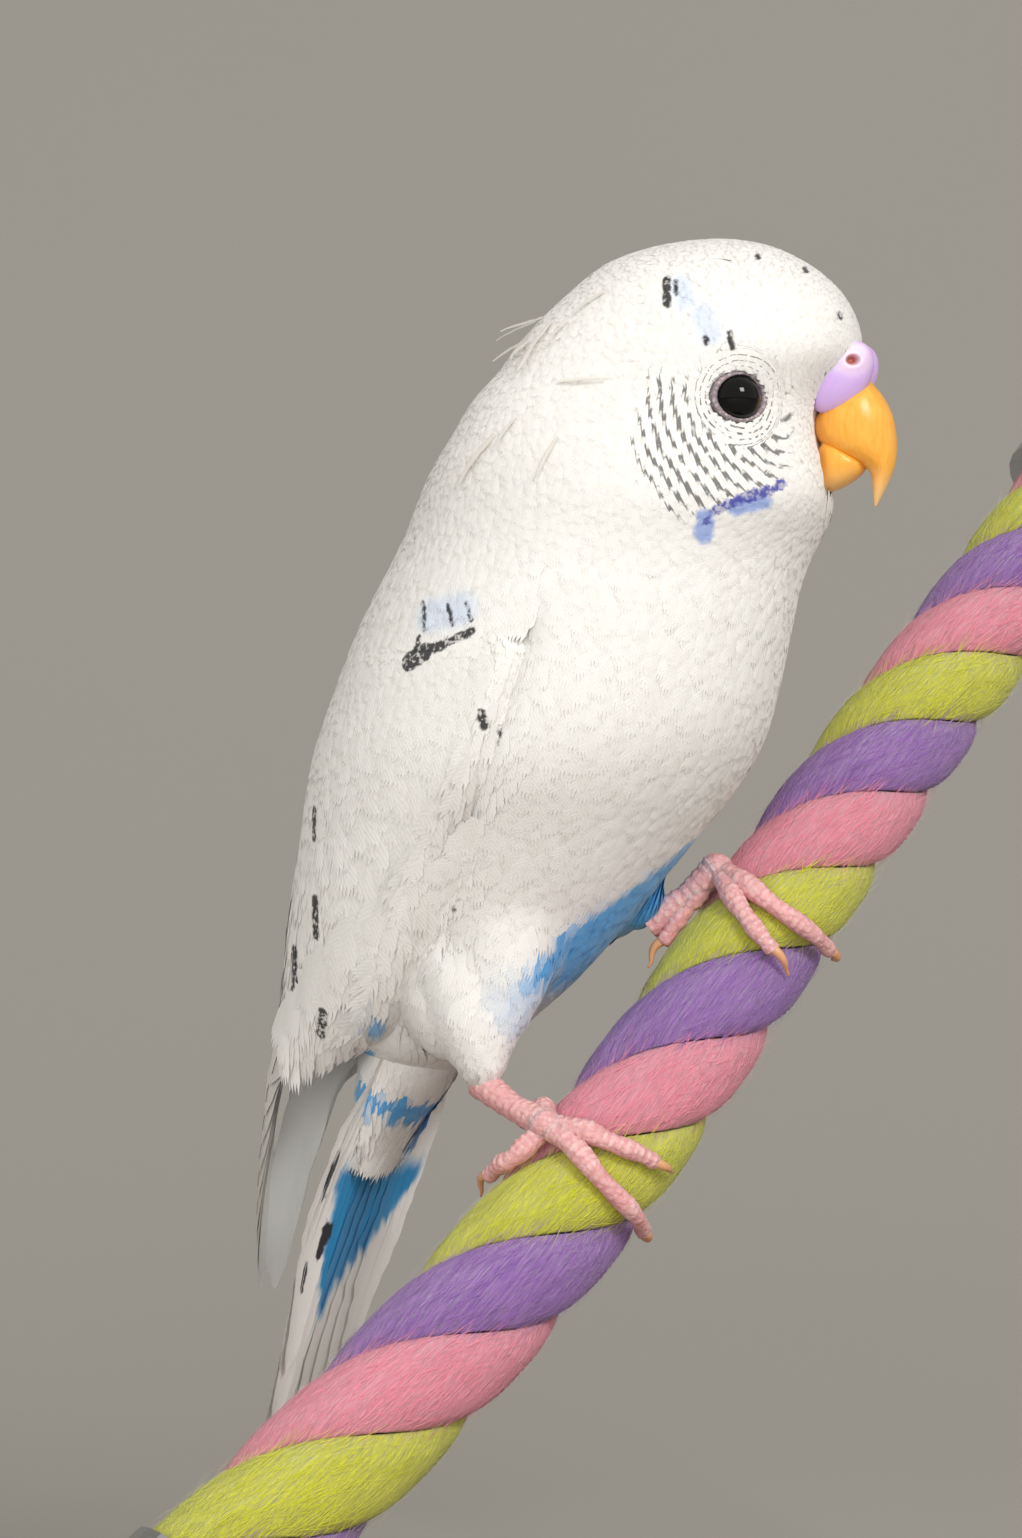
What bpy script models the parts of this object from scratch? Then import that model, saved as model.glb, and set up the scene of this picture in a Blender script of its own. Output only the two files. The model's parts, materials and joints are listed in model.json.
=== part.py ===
"""Budgerigar, a still life-size model that grips a short length of twisted rope on a display stand.

Sizes are in millimetres until a mesh is made, and the meshes are in metres, +Z up.
The origin is the centre of the stand's underside. The bird is measured from its mid-body mark:
forward, to its left, and up. The rope is measured along its own curve and round its own axis.
"""
import math
from dataclasses import dataclass

import bmesh
import bpy
from mathutils import Matrix, Vector

MM = 0.001
GAP = 0.3

# Stand
BASE_RADIUS = 79.0
BASE_THICKNESS = 7.0
BASE_EDGE = 1.5
TAIL_CLEARANCE = 4.0
ROD_RADIUS = 2.5
FOOT_COLLAR_RADIUS = 5.5
FOOT_COLLAR_HEIGHT = 3.0
CAP_RADIUS = 9.4
CAP_THICKNESS = 5.0
ROD_OFFSET = 13.0

# Bird, overall
BODY_YAW = 35.0
TAIL_TIP_DROP = 106.0
BIRD_MARK = Vector((-17.25, -9.8, BASE_THICKNESS + TAIL_CLEARANCE + TAIL_TIP_DROP))
ROPE_MARK = Vector((-23.3, -9.8, BIRD_MARK.z))
BODY_SIDES = 30
RINGS_PER_STATION = 2

# Body stations from crown to vent: height, forward centre, half depth, half width, yaw
BODY = (
    (58.7, 20.4, 0.0, 0.0, 12.0),
    (57.2, 20.6, 7.2, 6.3, 12.0),
    (52.6, 20.4, 13.9, 12.0, 12.0),
    (46.5, 17.9, 18.4, 15.0, 12.0),
    (42.8, 14.8, 18.4, 15.7, 12.0),
    (39.7, 11.8, 19.0, 16.3, 13.0),
    (36.4, 10.4, 20.3, 17.2, 16.0),
    (32.7, 9.1, 22.4, 18.5, 20.0),
    (28.2, 7.7, 24.2, 20.0, 27.0),
    (21.5, 3.8, 24.5, 21.4, 33.0),
    (15.2, 1.1, 25.4, 22.6, 35.0),
    (4.8, -2.7, 26.3, 23.4, 35.0),
    (-1.6, -5.7, 25.6, 22.8, 35.0),
    (-8.8, -7.7, 21.4, 19.3, 35.0),
    (-17.9, -12.2, 17.7, 15.9, 35.0),
    (-24.0, -14.8, 14.4, 13.0, 35.0),
    (-28.9, -17.4, 11.1, 10.0, 35.0),
    (-33.3, -19.4, 7.7, 6.9, 35.0),
    (-35.5, -20.5, 0.0, 0.0, 35.0),
)
HEAD_CUT = 30.0
NECK_CUT = 19.0
NECK_TURN = (24.0, 39.0)

# Outer surface of the folded wings: height, forward centre, half depth, half width
WING_HULL = (
    (22.0, 4.0, 24.5, 22.1),
    (15.2, 1.1, 25.4, 22.9),
    (4.8, -2.7, 26.3, 23.7),
    (-1.6, -5.7, 25.6, 23.0),
    (-9.0, -9.8, 23.2, 20.9),
    (-18.0, -15.2, 20.3, 18.2),
    (-24.0, -19.0, 18.0, 16.0),
    (-29.0, -22.9, 15.7, 13.5),
    (-33.0, -28.3, 11.6, 11.2),
    (-37.0, -32.8, 8.5, 9.2),
    (-50.0, -38.5, 5.0, 7.0),
    (-62.0, -42.0, 2.5, 5.5),
)
WING_DEPTH = 3.4
WING_FRONT = (62.0, 71.0)
WING_TOP = (20.0, 16.0)

PRIMARIES = 5
MIDLINE_BLOCK = (60.0, 40.0, 120.0)


@dataclass(frozen=True)
class Tier:
    """One row of wing feathers: its angles round the body, heights, depth and feather width."""

    count: int
    front: float
    back: float
    slant: float
    root_front: float
    root_back: float
    tip_front: float
    tip_back: float
    depth: tuple
    width: float
    steps: int


WING_TIERS = (
    Tier(6, 75.0, 163.0, 1.0, 0.0, -6.0, -18.0, -30.5, (2.3, 1.3), 9.0, 3),
    Tier(6, 76.0, 160.0, 2.0, 9.0, 4.0, -4.0, -15.0, (1.8, 0.7), 9.4, 2),
    Tier(5, 80.0, 156.0, 2.0, 13.0, 12.0, 3.5, -3.5, (1.4, 0.3), 10.0, 2),
)

# Head pieces, in the head's frame: forward of the head's axis, to its left, up
HEAD_MARK = Vector((18.2, -8.5, 0.0)) + ROPE_MARK
HEAD_YAW = 12.0
EYE_RADIUS = 2.75
EYE_SPOT = (9.2, 12.6, 39.8)
EYE_TURN = 35.0
EYE_SINK = 1.25
SOCKET_CLEARANCE = 0.3
LID_RADIUS = 3.15
LID_THICKNESS = 0.55
NOSTRIL_SPOT = (20.1, 2.9, 44.3)
NOSTRIL_RADIUS = 0.6
CERE_LOBE = (18.7, 1.9, 42.6)
CERE_RADII = (3.3, 2.7, 4.5)
CERE_TILT = 38.0

# Upper bill from cere to tip: height, back, front, half width
UPPER_BILL = (
    (42.2, 19.8, 21.6, 1.6),
    (40.6, 17.8, 22.9, 3.1),
    (38.6, 15.6, 23.9, 3.8),
    (36.6, 15.4, 24.3, 3.8),
    (35.2, 16.4, 24.4, 3.5),
    (34.2, 18.2, 24.35, 3.0),
    (33.2, 20.4, 24.2, 2.3),
    (32.2, 21.5, 23.9, 1.7),
    (30.8, 21.7, 23.3, 1.2),
    (29.6, 21.8, 22.7, 0.7),
    (28.6, 21.95, 22.15, 0.15),
)
LOWER_BILL_SPOT = (18.6, 0.0, 32.9)
LOWER_BILL_RADII = (2.6, 2.7, 2.4)
BILL_SIDES = 12

# Tail
TAIL_ROOT = (-20.5, 0.0, -30.5)
TAIL_SLOPE = 21.5
TAIL_CORE = ((0.0, 6.6, 6.8), (6.0, 5.4, 6.8), (14.0, 3.4, 6.2), (24.0, 1.6, 4.6), (34.0, 0.5, 2.4))
TAIL_PAIRS = (81.0, 72.0, 64.0, 56.0, 49.0, 42.0)
TAIL_FEATHER_WIDTH = 6.0

# Legs, in the bird's frame and the rope's own measures
THIGH_RIGHT = ((-8.0, -8.5, -22.0, 5.6), (-6.0, -8.6, -29.5, 4.4), (-4.8, -8.2, -35.4, 1.9))
THIGH_LEFT = ((-3.0, 8.0, -9.0, 6.4), (1.2, 11.0, -14.0, 5.0), (3.8, 12.8, -17.0, 2.2))
TARSUS_RADIUS = 1.2
TOE_RADIUS = (1.35, 0.85)
CLAW_RADIUS = (0.62, 0.14)
TOE_LIFT = 0.75

# Toes: along the rope and round it, in degrees from the side toward the viewer
RIGHT_PALM = (63.4, -55.0)
RIGHT_TOES = {
    "outer_front": ((62.4, -25.0), (61.3, 3.0), (61.4, 42.0), (62.0, 78.0)),
    "inner_front": ((64.6, -30.0), (65.3, -7.0), (66.4, 14.0), (67.2, 31.0)),
    "outer_hind": ((60.6, -60.0), (58.4, -66.0), (57.2, -80.0), (56.2, -96.0)),
    "inner_hind": ((65.4, -70.0), (66.2, -84.0), (66.8, -98.0), (67.4, -112.0)),
}
LEFT_PALM = (101.6, -67.0)
LEFT_TOES = {
    "outer_front": ((100.4, -38.0), (99.4, -8.0), (100.0, 30.0), (101.4, 64.0)),
    "inner_front": ((98.8, -44.0), (96.6, -22.0), (95.4, -4.0), (94.9, 12.0)),
    "outer_hind": ((98.9, -76.0), (96.4, -84.0), (94.2, -90.0), (92.0, -96.0)),
    "inner_hind": ((103.0, -82.0), (104.4, -98.0), (105.2, -112.0), (106.0, -126.0)),
}

# Rope: points of its centre line from the low end, and its laid strands
ROPE_ROUTE = (
    (-32.7, -30.0, -86.6),
    (-16.0, -20.0, -71.4),
    (2.6, -9.0, -52.4),
    (19.0, 2.0, -31.8),
    (36.6, 17.0, -7.8),
    (61.6, 38.0, 23.7),
    (68.6, 43.0, 32.7),
)
ROPE_RADIUS_LOW = 8.35
ROPE_RADIUS_HIGH = 7.5
ROPE_LENGTH = 173.0
STRANDS = ("green", "pink", "purple")
STRAND_STATION = 5.0
STRAND_POINTS = 7
GROOVE_DEPTH = 0.15
LAY_START = 15.2
LAY_RATE = 0.02198
LAY_TIGHTENING = 3.3e-5
LAY_SECOND = 60.7

COLOURS = {
    "plumage_white": ("E9E6E1", 0.85),
    "horn_orange": ("F0A23C", 0.4),
    "cere_lilac": ("C9A9D8", 0.5),
    "skin_pink": ("DDA6A6", 0.6),
    "claw_horn": ("D9A878", 0.4),
    "eye_black": ("0B0A0C", 0.05),
    "strand_green": ("B9C53A", 0.9),
    "strand_pink": ("F08DA2", 0.9),
    "strand_purple": ("8F66B8", 0.9),
    "stand_wood": ("6A4A34", 0.45),
    "stand_steel": ("B9BCBF", 0.3),
}


def srgb_to_linear(value):
    """One sRGB channel from 0 to 1 as a linear value."""
    return value / 12.92 if value <= 0.04045 else ((value + 0.055) / 1.055) ** 2.4


def make_material(name, metallic=0.0):
    """Principled material with the named colour and roughness."""
    code, roughness = COLOURS[name]
    channels = [srgb_to_linear(int(code[i:i + 2], 16) / 255.0) for i in (0, 2, 4)]
    material = bpy.data.materials.new(name)
    material.use_nodes = True
    shader = material.node_tree.nodes["Principled BSDF"]
    shader.inputs["Base Color"].default_value = (*channels, 1.0)
    shader.inputs["Roughness"].default_value = roughness
    shader.inputs["Metallic"].default_value = metallic
    return material


def smoothstep(low, high, value):
    """0 at low, 1 at high, with a smooth middle; low may be the larger."""
    t = min(1.0, max(0.0, (value - low) / (high - low)))
    return t * t * (3.0 - 2.0 * t)


def mix(a, b, t):
    """Value between a and b."""
    return a + (b - a) * t


def spline(rows, t):
    """Smooth values through rows of numbers, with t counted in rows."""
    last = len(rows) - 1
    i = min(last - 1, max(0, int(t)))
    u = min(1.0, max(0.0, t - i))
    before = rows[i - 1] if i > 0 else [2 * a - b for a, b in zip(rows[0], rows[1])]
    after = rows[i + 2] if i + 2 <= last else [2 * b - a for a, b in zip(rows[last - 1], rows[last])]
    values = []
    for p0, p1, p2, p3 in zip(before, rows[i], rows[i + 1], after):
        curve = 2 * p1 + (p2 - p0) * u + (2 * p0 - 5 * p1 + 4 * p2 - p3) * u ** 2
        values.append(0.5 * (curve + (3 * p1 - p0 - 3 * p2 + p3) * u ** 3))
    return values


def spline_at(rows, key):
    """Smooth values of a table whose first column falls, at one value of that column."""
    for i in range(len(rows) - 1):
        if key >= rows[i + 1][0]:
            break
    u = (rows[i][0] - key) / (rows[i][0] - rows[i + 1][0])
    return spline(rows, i + min(1.0, max(0.0, u)))


def turned(forward, left, yaw):
    """Plan vector for a distance forward and to the left of something turned by yaw."""
    c = math.cos(math.radians(yaw))
    s = math.sin(math.radians(yaw))
    return Vector((forward * c + left * s, -forward * s + left * c, 0.0))


def bird(forward, left, up):
    """Point measured from the bird's mid-body mark."""
    return BIRD_MARK + turned(forward, left, BODY_YAW) + Vector((0.0, 0.0, up))


def head(forward, left, up):
    """Point measured in the head's frame."""
    return HEAD_MARK + turned(forward, left, HEAD_YAW) + Vector((0.0, 0.0, up))


def body_axis(forward, up):
    """Point of the body's middle plane, which turns into the head's own plane through the neck."""
    place = bird(forward, 0.0, up)
    turn = smoothstep(NECK_TURN[0], NECK_TURN[1], up)
    level = HEAD_MARK.y - (place.x - HEAD_MARK.x) * math.tan(math.radians(HEAD_YAW))
    place.y = mix(place.y, level, turn)
    return place


def wing_fields(point):
    """Forward, left and up of a point, with its depth below the wings' outer surface and its angle."""
    d = point - BIRD_MARK
    c = math.cos(math.radians(BODY_YAW))
    s = math.sin(math.radians(BODY_YAW))
    forward = d.x * c - d.y * s
    left = d.x * s + d.y * c
    _, centre, deep, wide = spline_at(WING_HULL, d.z)
    x = (forward - centre) / deep
    y = left / wide
    reach = math.hypot(x, y)
    return centre, forward, left, d.z, (1.0 - reach) * 0.5 * (deep + wide), math.degrees(math.atan2(abs(y), x))


def body_point(t, theta, grow=0.0):
    """Point of the body at a station and an angle from the front, its left side positive."""
    up, centre, deep, wide, yaw = spline(BODY, t)
    deep = max(0.0, deep)
    wide = max(0.0, wide)
    place = body_axis(centre, up) + turned(deep * math.cos(theta), wide * math.sin(theta), yaw)
    wing_centre, forward, left, height, depth, angle = wing_fields(place)
    need = WING_DEPTH + GAP
    share = smoothstep(WING_FRONT[0], WING_FRONT[1], angle) * smoothstep(WING_TOP[0], WING_TOP[1], height)
    if share > 0.0 and depth < need and height > WING_HULL[-1][0]:
        sunk = bird(wing_centre, 0.0, height)
        radius = (place - sunk).length
        if radius > need:
            place = place.lerp(sunk, share * (need - depth) / radius)
    if grow:
        outward = place - body_axis(centre, up)
        if outward.length > 1e-6:
            place = place + outward.normalized() * grow
        place.z += grow * math.cos(math.pi * t / (len(BODY) - 1))
    return place


def body_mesh(grow=0.0):
    """Whole body from crown to vent as one closed bmesh, warped from a sphere."""
    bm = bmesh.new()
    rings = RINGS_PER_STATION * (len(BODY) - 1)
    bmesh.ops.create_uvsphere(bm, u_segments=BODY_SIDES, v_segments=rings, radius=1.0)
    for vertex in bm.verts:
        latitude = math.acos(min(1.0, max(-1.0, vertex.co.z)))
        t = latitude / math.pi * (len(BODY) - 1)
        vertex.co = body_point(t, math.atan2(vertex.co.y, vertex.co.x), grow)
    return bm


def loft(rings):
    """Closed bmesh through rings of equal count, capped with fans."""
    bm = bmesh.new()
    rows = [[bm.verts.new(p) for p in ring] for ring in rings]
    count = len(rows[0])
    for lower, upper in zip(rows, rows[1:]):
        for i in range(count):
            j = (i + 1) % count
            bm.faces.new((lower[i], lower[j], upper[j], upper[i]))
    for row, flip in ((rows[0], True), (rows[-1], False)):
        centre = bm.verts.new(sum((v.co for v in row), Vector()) / count)
        for i in range(count):
            pair = (row[(i + 1) % count], row[i]) if flip else (row[i], row[(i + 1) % count])
            bm.faces.new((*pair, centre))
    bmesh.ops.recalc_face_normals(bm, faces=bm.faces)
    return bm


def tube(points, radii, sides=8):
    """Closed bmesh round a path with a radius at each point."""
    rings = []
    across = None
    for i, point in enumerate(points):
        ahead = points[min(i + 1, len(points) - 1)]
        behind = points[max(i - 1, 0)]
        tangent = (ahead - behind).normalized()
        start = across if across is not None else tangent.orthogonal()
        across = (start - tangent * start.dot(tangent)).normalized()
        other = tangent.cross(across)
        ring = []
        for k in range(sides):
            angle = 2.0 * math.pi * k / sides
            ring.append(point + (across * math.cos(angle) + other * math.sin(angle)) * radii[i])
        rings.append(ring)
    return loft(rings)


def vane(points, normals, widths, thickness, tilt=0.0):
    """Thin tapered feather: a four-sided strip that follows points, flat against the normals."""
    rings = []
    for i, point in enumerate(points):
        ahead = points[min(i + 1, len(points) - 1)]
        behind = points[max(i - 1, 0)]
        tangent = (ahead - behind).normalized()
        normal = (normals[i] - tangent * normals[i].dot(tangent)).normalized()
        normal = Matrix.Rotation(tilt, 3, tangent) @ normal
        side = tangent.cross(normal)
        half = 0.5 * widths[i]
        rise = 0.5 * thickness[i]
        rings.append([point + side * x * half + normal * y * rise
                      for x, y in ((-1, -1), (1, -1), (1, 1), (-1, 1))])
    return loft(rings)


def ellipsoid(centre, radii, turn, segments=16, rings=10):
    """Ellipsoid from a sphere, scaled and turned by a matrix."""
    bm = bmesh.new()
    bmesh.ops.create_uvsphere(bm, u_segments=segments, v_segments=rings, radius=1.0)
    for vertex in bm.verts:
        vertex.co = centre + turn @ Vector([c * r for c, r in zip(vertex.co, radii)])
    return bm


def add_object(name, bm, collection, material=None):
    """Object in metres from a bmesh in millimetres."""
    bmesh.ops.triangulate(bm, faces=bm.faces)
    bmesh.ops.scale(bm, vec=(MM, MM, MM), verts=bm.verts)
    mesh = bpy.data.meshes.new(name)
    bm.to_mesh(mesh)
    bm.free()
    mesh.shade_smooth()
    mesh.set_sharp_from_angle(angle=math.radians(45.0))
    if material:
        mesh.materials.append(material)
    thing = bpy.data.objects.new(name, mesh)
    collection.objects.link(thing)
    return thing


def apply_modifiers(thing):
    """Replace an object's mesh by its evaluated one, without its modifiers."""
    graph = bpy.context.evaluated_depsgraph_get()
    graph.update()
    mesh = bpy.data.meshes.new_from_object(thing.evaluated_get(graph))
    thing.modifiers.clear()
    thing.data = mesh


def keep_largest(thing):
    """Keep only the closed surface with the most volume."""
    bm = bmesh.new()
    bm.from_mesh(thing.data)
    bmesh.ops.remove_doubles(bm, verts=bm.verts, dist=1e-6)
    bmesh.ops.dissolve_degenerate(bm, edges=bm.edges, dist=1e-6)
    bmesh.ops.triangulate(bm, faces=bm.faces)
    unseen = set(bm.faces)
    best = (-1.0, [])
    while unseen:
        stack = [unseen.pop()]
        group = []
        while stack:
            face = stack.pop()
            group.append(face)
            for edge in face.edges:
                for other in edge.link_faces:
                    if other in unseen:
                        unseen.remove(other)
                        stack.append(other)
        volume = sum(f.verts[0].co.dot(f.verts[1].co.cross(f.verts[2].co)) for f in group)
        best = max(best, (volume, group), key=lambda pair: pair[0])
    keep = set(best[1])
    bmesh.ops.delete(bm, geom=[f for f in bm.faces if f not in keep], context="FACES")
    bm.to_mesh(thing.data)
    bm.free()


def boolean(thing, operation, others, solver="EXACT"):
    """Join to, or cut from, one object a list of others, which are then removed."""
    group = bpy.data.collections.new(thing.name + "_tools")
    for other in others:
        group.objects.link(other)
    step = thing.modifiers.new("join", "BOOLEAN")
    step.operation = operation
    step.solver = solver
    step.operand_type = "COLLECTION"
    step.collection = group
    apply_modifiers(thing)
    for other in others:
        bpy.data.objects.remove(other)
    bpy.data.collections.remove(group)
    keep_largest(thing)


class Workshop:
    """Collections and materials that the pieces share."""

    def __init__(self):
        self.parts = bpy.data.collections.new("budgerigar")
        self.cutters = bpy.data.collections.new("cutters")
        for collection in (self.parts, self.cutters):
            bpy.context.scene.collection.children.link(collection)
        self.materials = {name: make_material(name, 1.0 if name == "stand_steel" else 0.0) for name in COLOURS}

    def piece(self, name, bm, material):
        """Finished piece in the object's collection."""
        return add_object(name, bm, self.parts, self.materials[material])

    def tool(self, name, bm):
        """Hidden piece that joins to or cuts another."""
        thing = add_object(name, bm, self.cutters)
        thing.hide_render = True
        thing.display_type = "WIRE"
        return thing


def slice_between(bm, low_point, low_normal, high_point, high_normal):
    """Keep the part of a closed bmesh between two planes, with flat caps."""
    for point, normal in ((low_point, low_normal), (high_point, high_normal)):
        if point is None:
            continue
        geometry = bm.verts[:] + bm.edges[:] + bm.faces[:]
        cut = bmesh.ops.bisect_plane(bm, geom=geometry, plane_co=point, plane_no=normal, clear_outer=True)
        edges = [e for e in cut["geom_cut"] if isinstance(e, bmesh.types.BMEdge)]
        bmesh.ops.holes_fill(bm, edges=edges, sides=0)
    return bm


def tail_frame():
    """Root point, direction and dorsal direction of the tail."""
    a = math.radians(TAIL_SLOPE)
    root = bird(*TAIL_ROOT)
    along = turned(-math.sin(a), 0.0, BODY_YAW) + Vector((0.0, 0.0, -math.cos(a)))
    dorsal = turned(-math.cos(a), 0.0, BODY_YAW) + Vector((0.0, 0.0, math.sin(a)))
    return root, along, dorsal, turned(0.0, 1.0, BODY_YAW)


def rope_axis(s):
    """Point and direction of the rope's centre line at a distance from its low end."""
    steps = 12 * (len(ROPE_ROUTE) - 1)
    points = [Vector(spline(ROPE_ROUTE, i / 12)) for i in range(steps + 1)]
    walked = 0.0
    for i in range(steps):
        length = (points[i + 1] - points[i]).length
        if walked + length >= s or i == steps - 1:
            break
        walked += length
    place = points[i].lerp(points[i + 1], (s - walked) / length)
    ahead = points[min(steps, i + 3)]
    behind = points[max(0, i - 2)]
    return ROPE_MARK + place, (ahead - behind).normalized()


def rope_point(s, degrees, radius):
    """Point round the rope, with 0 degrees toward the viewer and 90 on its lower right side."""
    place, tangent = rope_axis(s)
    near = Vector((0.0, -1.0, 0.0))
    near = (near - tangent * near.dot(tangent)).normalized()
    side = tangent.cross(near)
    angle = math.radians(degrees)
    return place + (near * math.cos(angle) + side * math.sin(angle)) * radius


def rope_radius(s):
    """The rope's crest radius at a distance from its low end."""
    return mix(ROPE_RADIUS_LOW, ROPE_RADIUS_HIGH, s / ROPE_LENGTH)


def strand_mesh(number, grow=0.0):
    """One laid strand: a rounded third of the rope, swept along it with its twist."""
    count = int(ROPE_LENGTH / STRAND_STATION)
    rings = []
    for i in range(count + 1):
        s = ROPE_LENGTH * i / count + (grow if i == count else 0.0) - (grow if i == 0 else 0.0)
        turns = LAY_RATE * (s - LAY_START) + LAY_TIGHTENING * (s - LAY_START) * (s - LAY_SECOND)
        middle = 360.0 * (turns - number / len(STRANDS))
        radius = rope_radius(s)
        edge = math.degrees((0.5 * GAP - grow) / (0.62 * radius))
        ring = [rope_point(s, middle, max(0.05, 0.5 * GAP * 1.3 - grow))]
        for k in range(STRAND_POINTS):
            u = 2.0 * k / (STRAND_POINTS - 1) - 1.0
            reach = radius * (1.0 - GROOVE_DEPTH * abs(u) ** 3) + grow
            ring.append(rope_point(s, middle + u * (60.0 - edge), reach))
        rings.append(ring)
    return loft(rings)


def make_rope(shop):
    """Three strands, each a node."""
    for number, colour in enumerate(STRANDS):
        shop.piece("perch_strand_" + colour, strand_mesh(number), "strand_" + colour)


def rope_tools(shop):
    """The strands a little larger, to cut what grips them."""
    return [shop.tool("rope_tool_%d" % n, strand_mesh(n, GAP)) for n in range(len(STRANDS))]


def cylinder(radius, height, segments=32, edge=0.0):
    """Upright cylinder on the plane z = 0, with rounded rims."""
    bm = bmesh.new()
    bmesh.ops.create_cone(bm, cap_ends=True, segments=segments, radius1=radius, radius2=radius, depth=height)
    bmesh.ops.translate(bm, vec=(0.0, 0.0, 0.5 * height), verts=bm.verts)
    if edge:
        rims = [e for e in bm.edges if abs(e.verts[0].co.z - e.verts[1].co.z) < 1e-6
                and e.verts[0].co.z > 0.5 * height]
        bmesh.ops.bevel(bm, geom=rims, offset=edge, segments=2, profile=0.5, affect="EDGES")
    return bm


def cap_mesh(low_end, grow=0.0):
    """Disc that faces one end of the rope."""
    s = 0.0 if low_end else ROPE_LENGTH
    place, tangent = rope_axis(s)
    outward = -tangent if low_end else tangent
    bm = cylinder(CAP_RADIUS + grow, CAP_THICKNESS + 2.0 * grow, 24)
    turn = outward.to_track_quat("Z", "Y").to_matrix()
    start = place + outward * (GAP - grow)
    for vertex in bm.verts:
        vertex.co = start + turn @ vertex.co
    return bm, start + outward * 0.5 * (CAP_THICKNESS + 2.0 * grow)


def make_stand(shop):
    """Flat round base, and at each end of the rope a rod and a disc."""
    shop.piece("stand_base", cylinder(BASE_RADIUS, BASE_THICKNESS, 48, BASE_EDGE), "stand_wood")
    for end, low in (("low", True), ("high", False)):
        disc, centre = cap_mesh(low)
        shop.piece("stand_cap_" + end, disc, "stand_steel")
        outward = Vector((centre.x, centre.y, 0.0)).normalized() * (0.0 if low else ROD_OFFSET)
        foot = Vector((centre.x, centre.y, BASE_THICKNESS + GAP)) + outward
        level = centre.z - foot.z
        rod = cylinder(ROD_RADIUS, level, 14)
        bmesh.ops.translate(rod, vec=foot, verts=rod.verts)
        if not low:
            rod.free()
            bend = 0.6 * ROD_OFFSET
            turn = [foot + Vector((0.0, 0.0, level - bend)) + Vector((0.0, 0.0, bend * math.sin(a)))
                    - outward.normalized() * bend * (1.0 - math.cos(a))
                    for a in [0.25 * math.pi * k / 2 for k in range(5)]]
            rod = tube([foot, *turn, foot - outward + Vector((0.0, 0.0, level))], [ROD_RADIUS] * 7, 14)
        collar = cylinder(FOOT_COLLAR_RADIUS, FOOT_COLLAR_HEIGHT, 14, 0.6)
        bmesh.ops.translate(collar, vec=foot, verts=collar.verts)
        thing = shop.piece("stand_rod_" + end, rod, "stand_steel")
        boolean(thing, "UNION", [shop.tool("collar", collar)])
        boolean(thing, "DIFFERENCE", [shop.tool("cap_tool", cap_mesh(low, GAP)[0])])


def eye_frame(side, sink):
    """Centre and outward direction of an eye, side 1 for the left."""
    forward, left, up = EYE_SPOT
    outward = turned(math.sin(math.radians(EYE_TURN)), side * math.cos(math.radians(EYE_TURN)), HEAD_YAW)
    return head(forward, side * left, up) - outward * sink, outward


def lid_ring(side):
    """Fleshy ring round an eye."""
    centre, outward = eye_frame(side, 0.15)
    turn = outward.to_track_quat("Z", "Y").to_matrix()
    points = []
    for k in range(20):
        angle = 2.0 * math.pi * k / 20
        points.append(centre + turn @ Vector((LID_RADIUS * math.cos(angle), LID_RADIUS * math.sin(angle), 0.0)))
    bm = bmesh.new()
    rows = []
    for k in range(20):
        outwards = (points[k] - centre).normalized()
        row = []
        for j in range(6):
            a = 2.0 * math.pi * j / 6
            spot = points[k] + (outwards * math.cos(a) + outward * math.sin(a)) * LID_THICKNESS
            row.append(bm.verts.new(spot))
        rows.append(row)
    for k in range(20):
        for j in range(6):
            n = (k + 1) % 20
            m = (j + 1) % 6
            bm.faces.new((rows[k][j], rows[n][j], rows[n][m], rows[k][m]))
    bmesh.ops.recalc_face_normals(bm, faces=bm.faces)
    return bm


def make_body(shop):
    """Head, neck and torso, parted by thin flat cuts."""
    up = Vector((0.0, 0.0, 1.0))
    level = BIRD_MARK.z
    root, along, _, _ = tail_frame()
    cut = slice_between(body_mesh(), Vector((0, 0, level + HEAD_CUT + 0.5 * GAP)), -up, None, None)
    skull = shop.piece("head", cut, "plumage_white")
    cut = slice_between(body_mesh(), Vector((0, 0, level + NECK_CUT + 0.5 * GAP)), -up,
                        Vector((0, 0, level + HEAD_CUT - 0.5 * GAP)), up)
    shop.piece("neck", cut, "plumage_white")
    cut = slice_between(body_mesh(), root, along, Vector((0, 0, level + NECK_CUT - 0.5 * GAP)), up)
    shop.piece("torso", cut, "plumage_white")
    lids = [shop.tool("lid", lid_ring(side)) for side in (-1, 1)]
    boolean(skull, "UNION", lids)
    sockets = []
    for side, name in ((-1, "right"), (1, "left")):
        centre, outward = eye_frame(side, EYE_SINK)
        still = Matrix.Identity(3)
        radii = [EYE_RADIUS + SOCKET_CLEARANCE] * 3
        sockets.append(shop.tool("socket", ellipsoid(centre, radii, still, 18, 12)))
        shop.piece("eye_" + name, ellipsoid(centre, [EYE_RADIUS] * 3, still, 16, 10), "eye_black")
    boolean(skull, "DIFFERENCE", sockets, "EXACT")


def bill_mesh(grow=0.0):
    """Hooked upper bill from its level sections."""
    rings = []
    for i, (up, back, front, half) in enumerate(UPPER_BILL):
        rise = grow if i == 0 else -grow if i == len(UPPER_BILL) - 1 else 0.0
        ring = []
        for k in range(BILL_SIDES):
            a = 2.0 * math.pi * k / BILL_SIDES
            forward = 0.5 * (front + back) + (0.5 * (front - back) + grow) * math.cos(a)
            ring.append(head(forward, (half + grow) * math.sin(a), up + rise))
        rings.append(ring)
    return loft(rings)


def cere_mesh(side, grow=0.0):
    """One lobe of the cere."""
    forward, left, up = CERE_LOBE
    turn = Matrix.Rotation(math.radians(-HEAD_YAW), 3, "Z") @ Matrix.Rotation(math.radians(CERE_TILT), 3, "Y")
    return ellipsoid(head(forward, side * left, up), [r + grow for r in CERE_RADII], turn, 12, 8)


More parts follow.
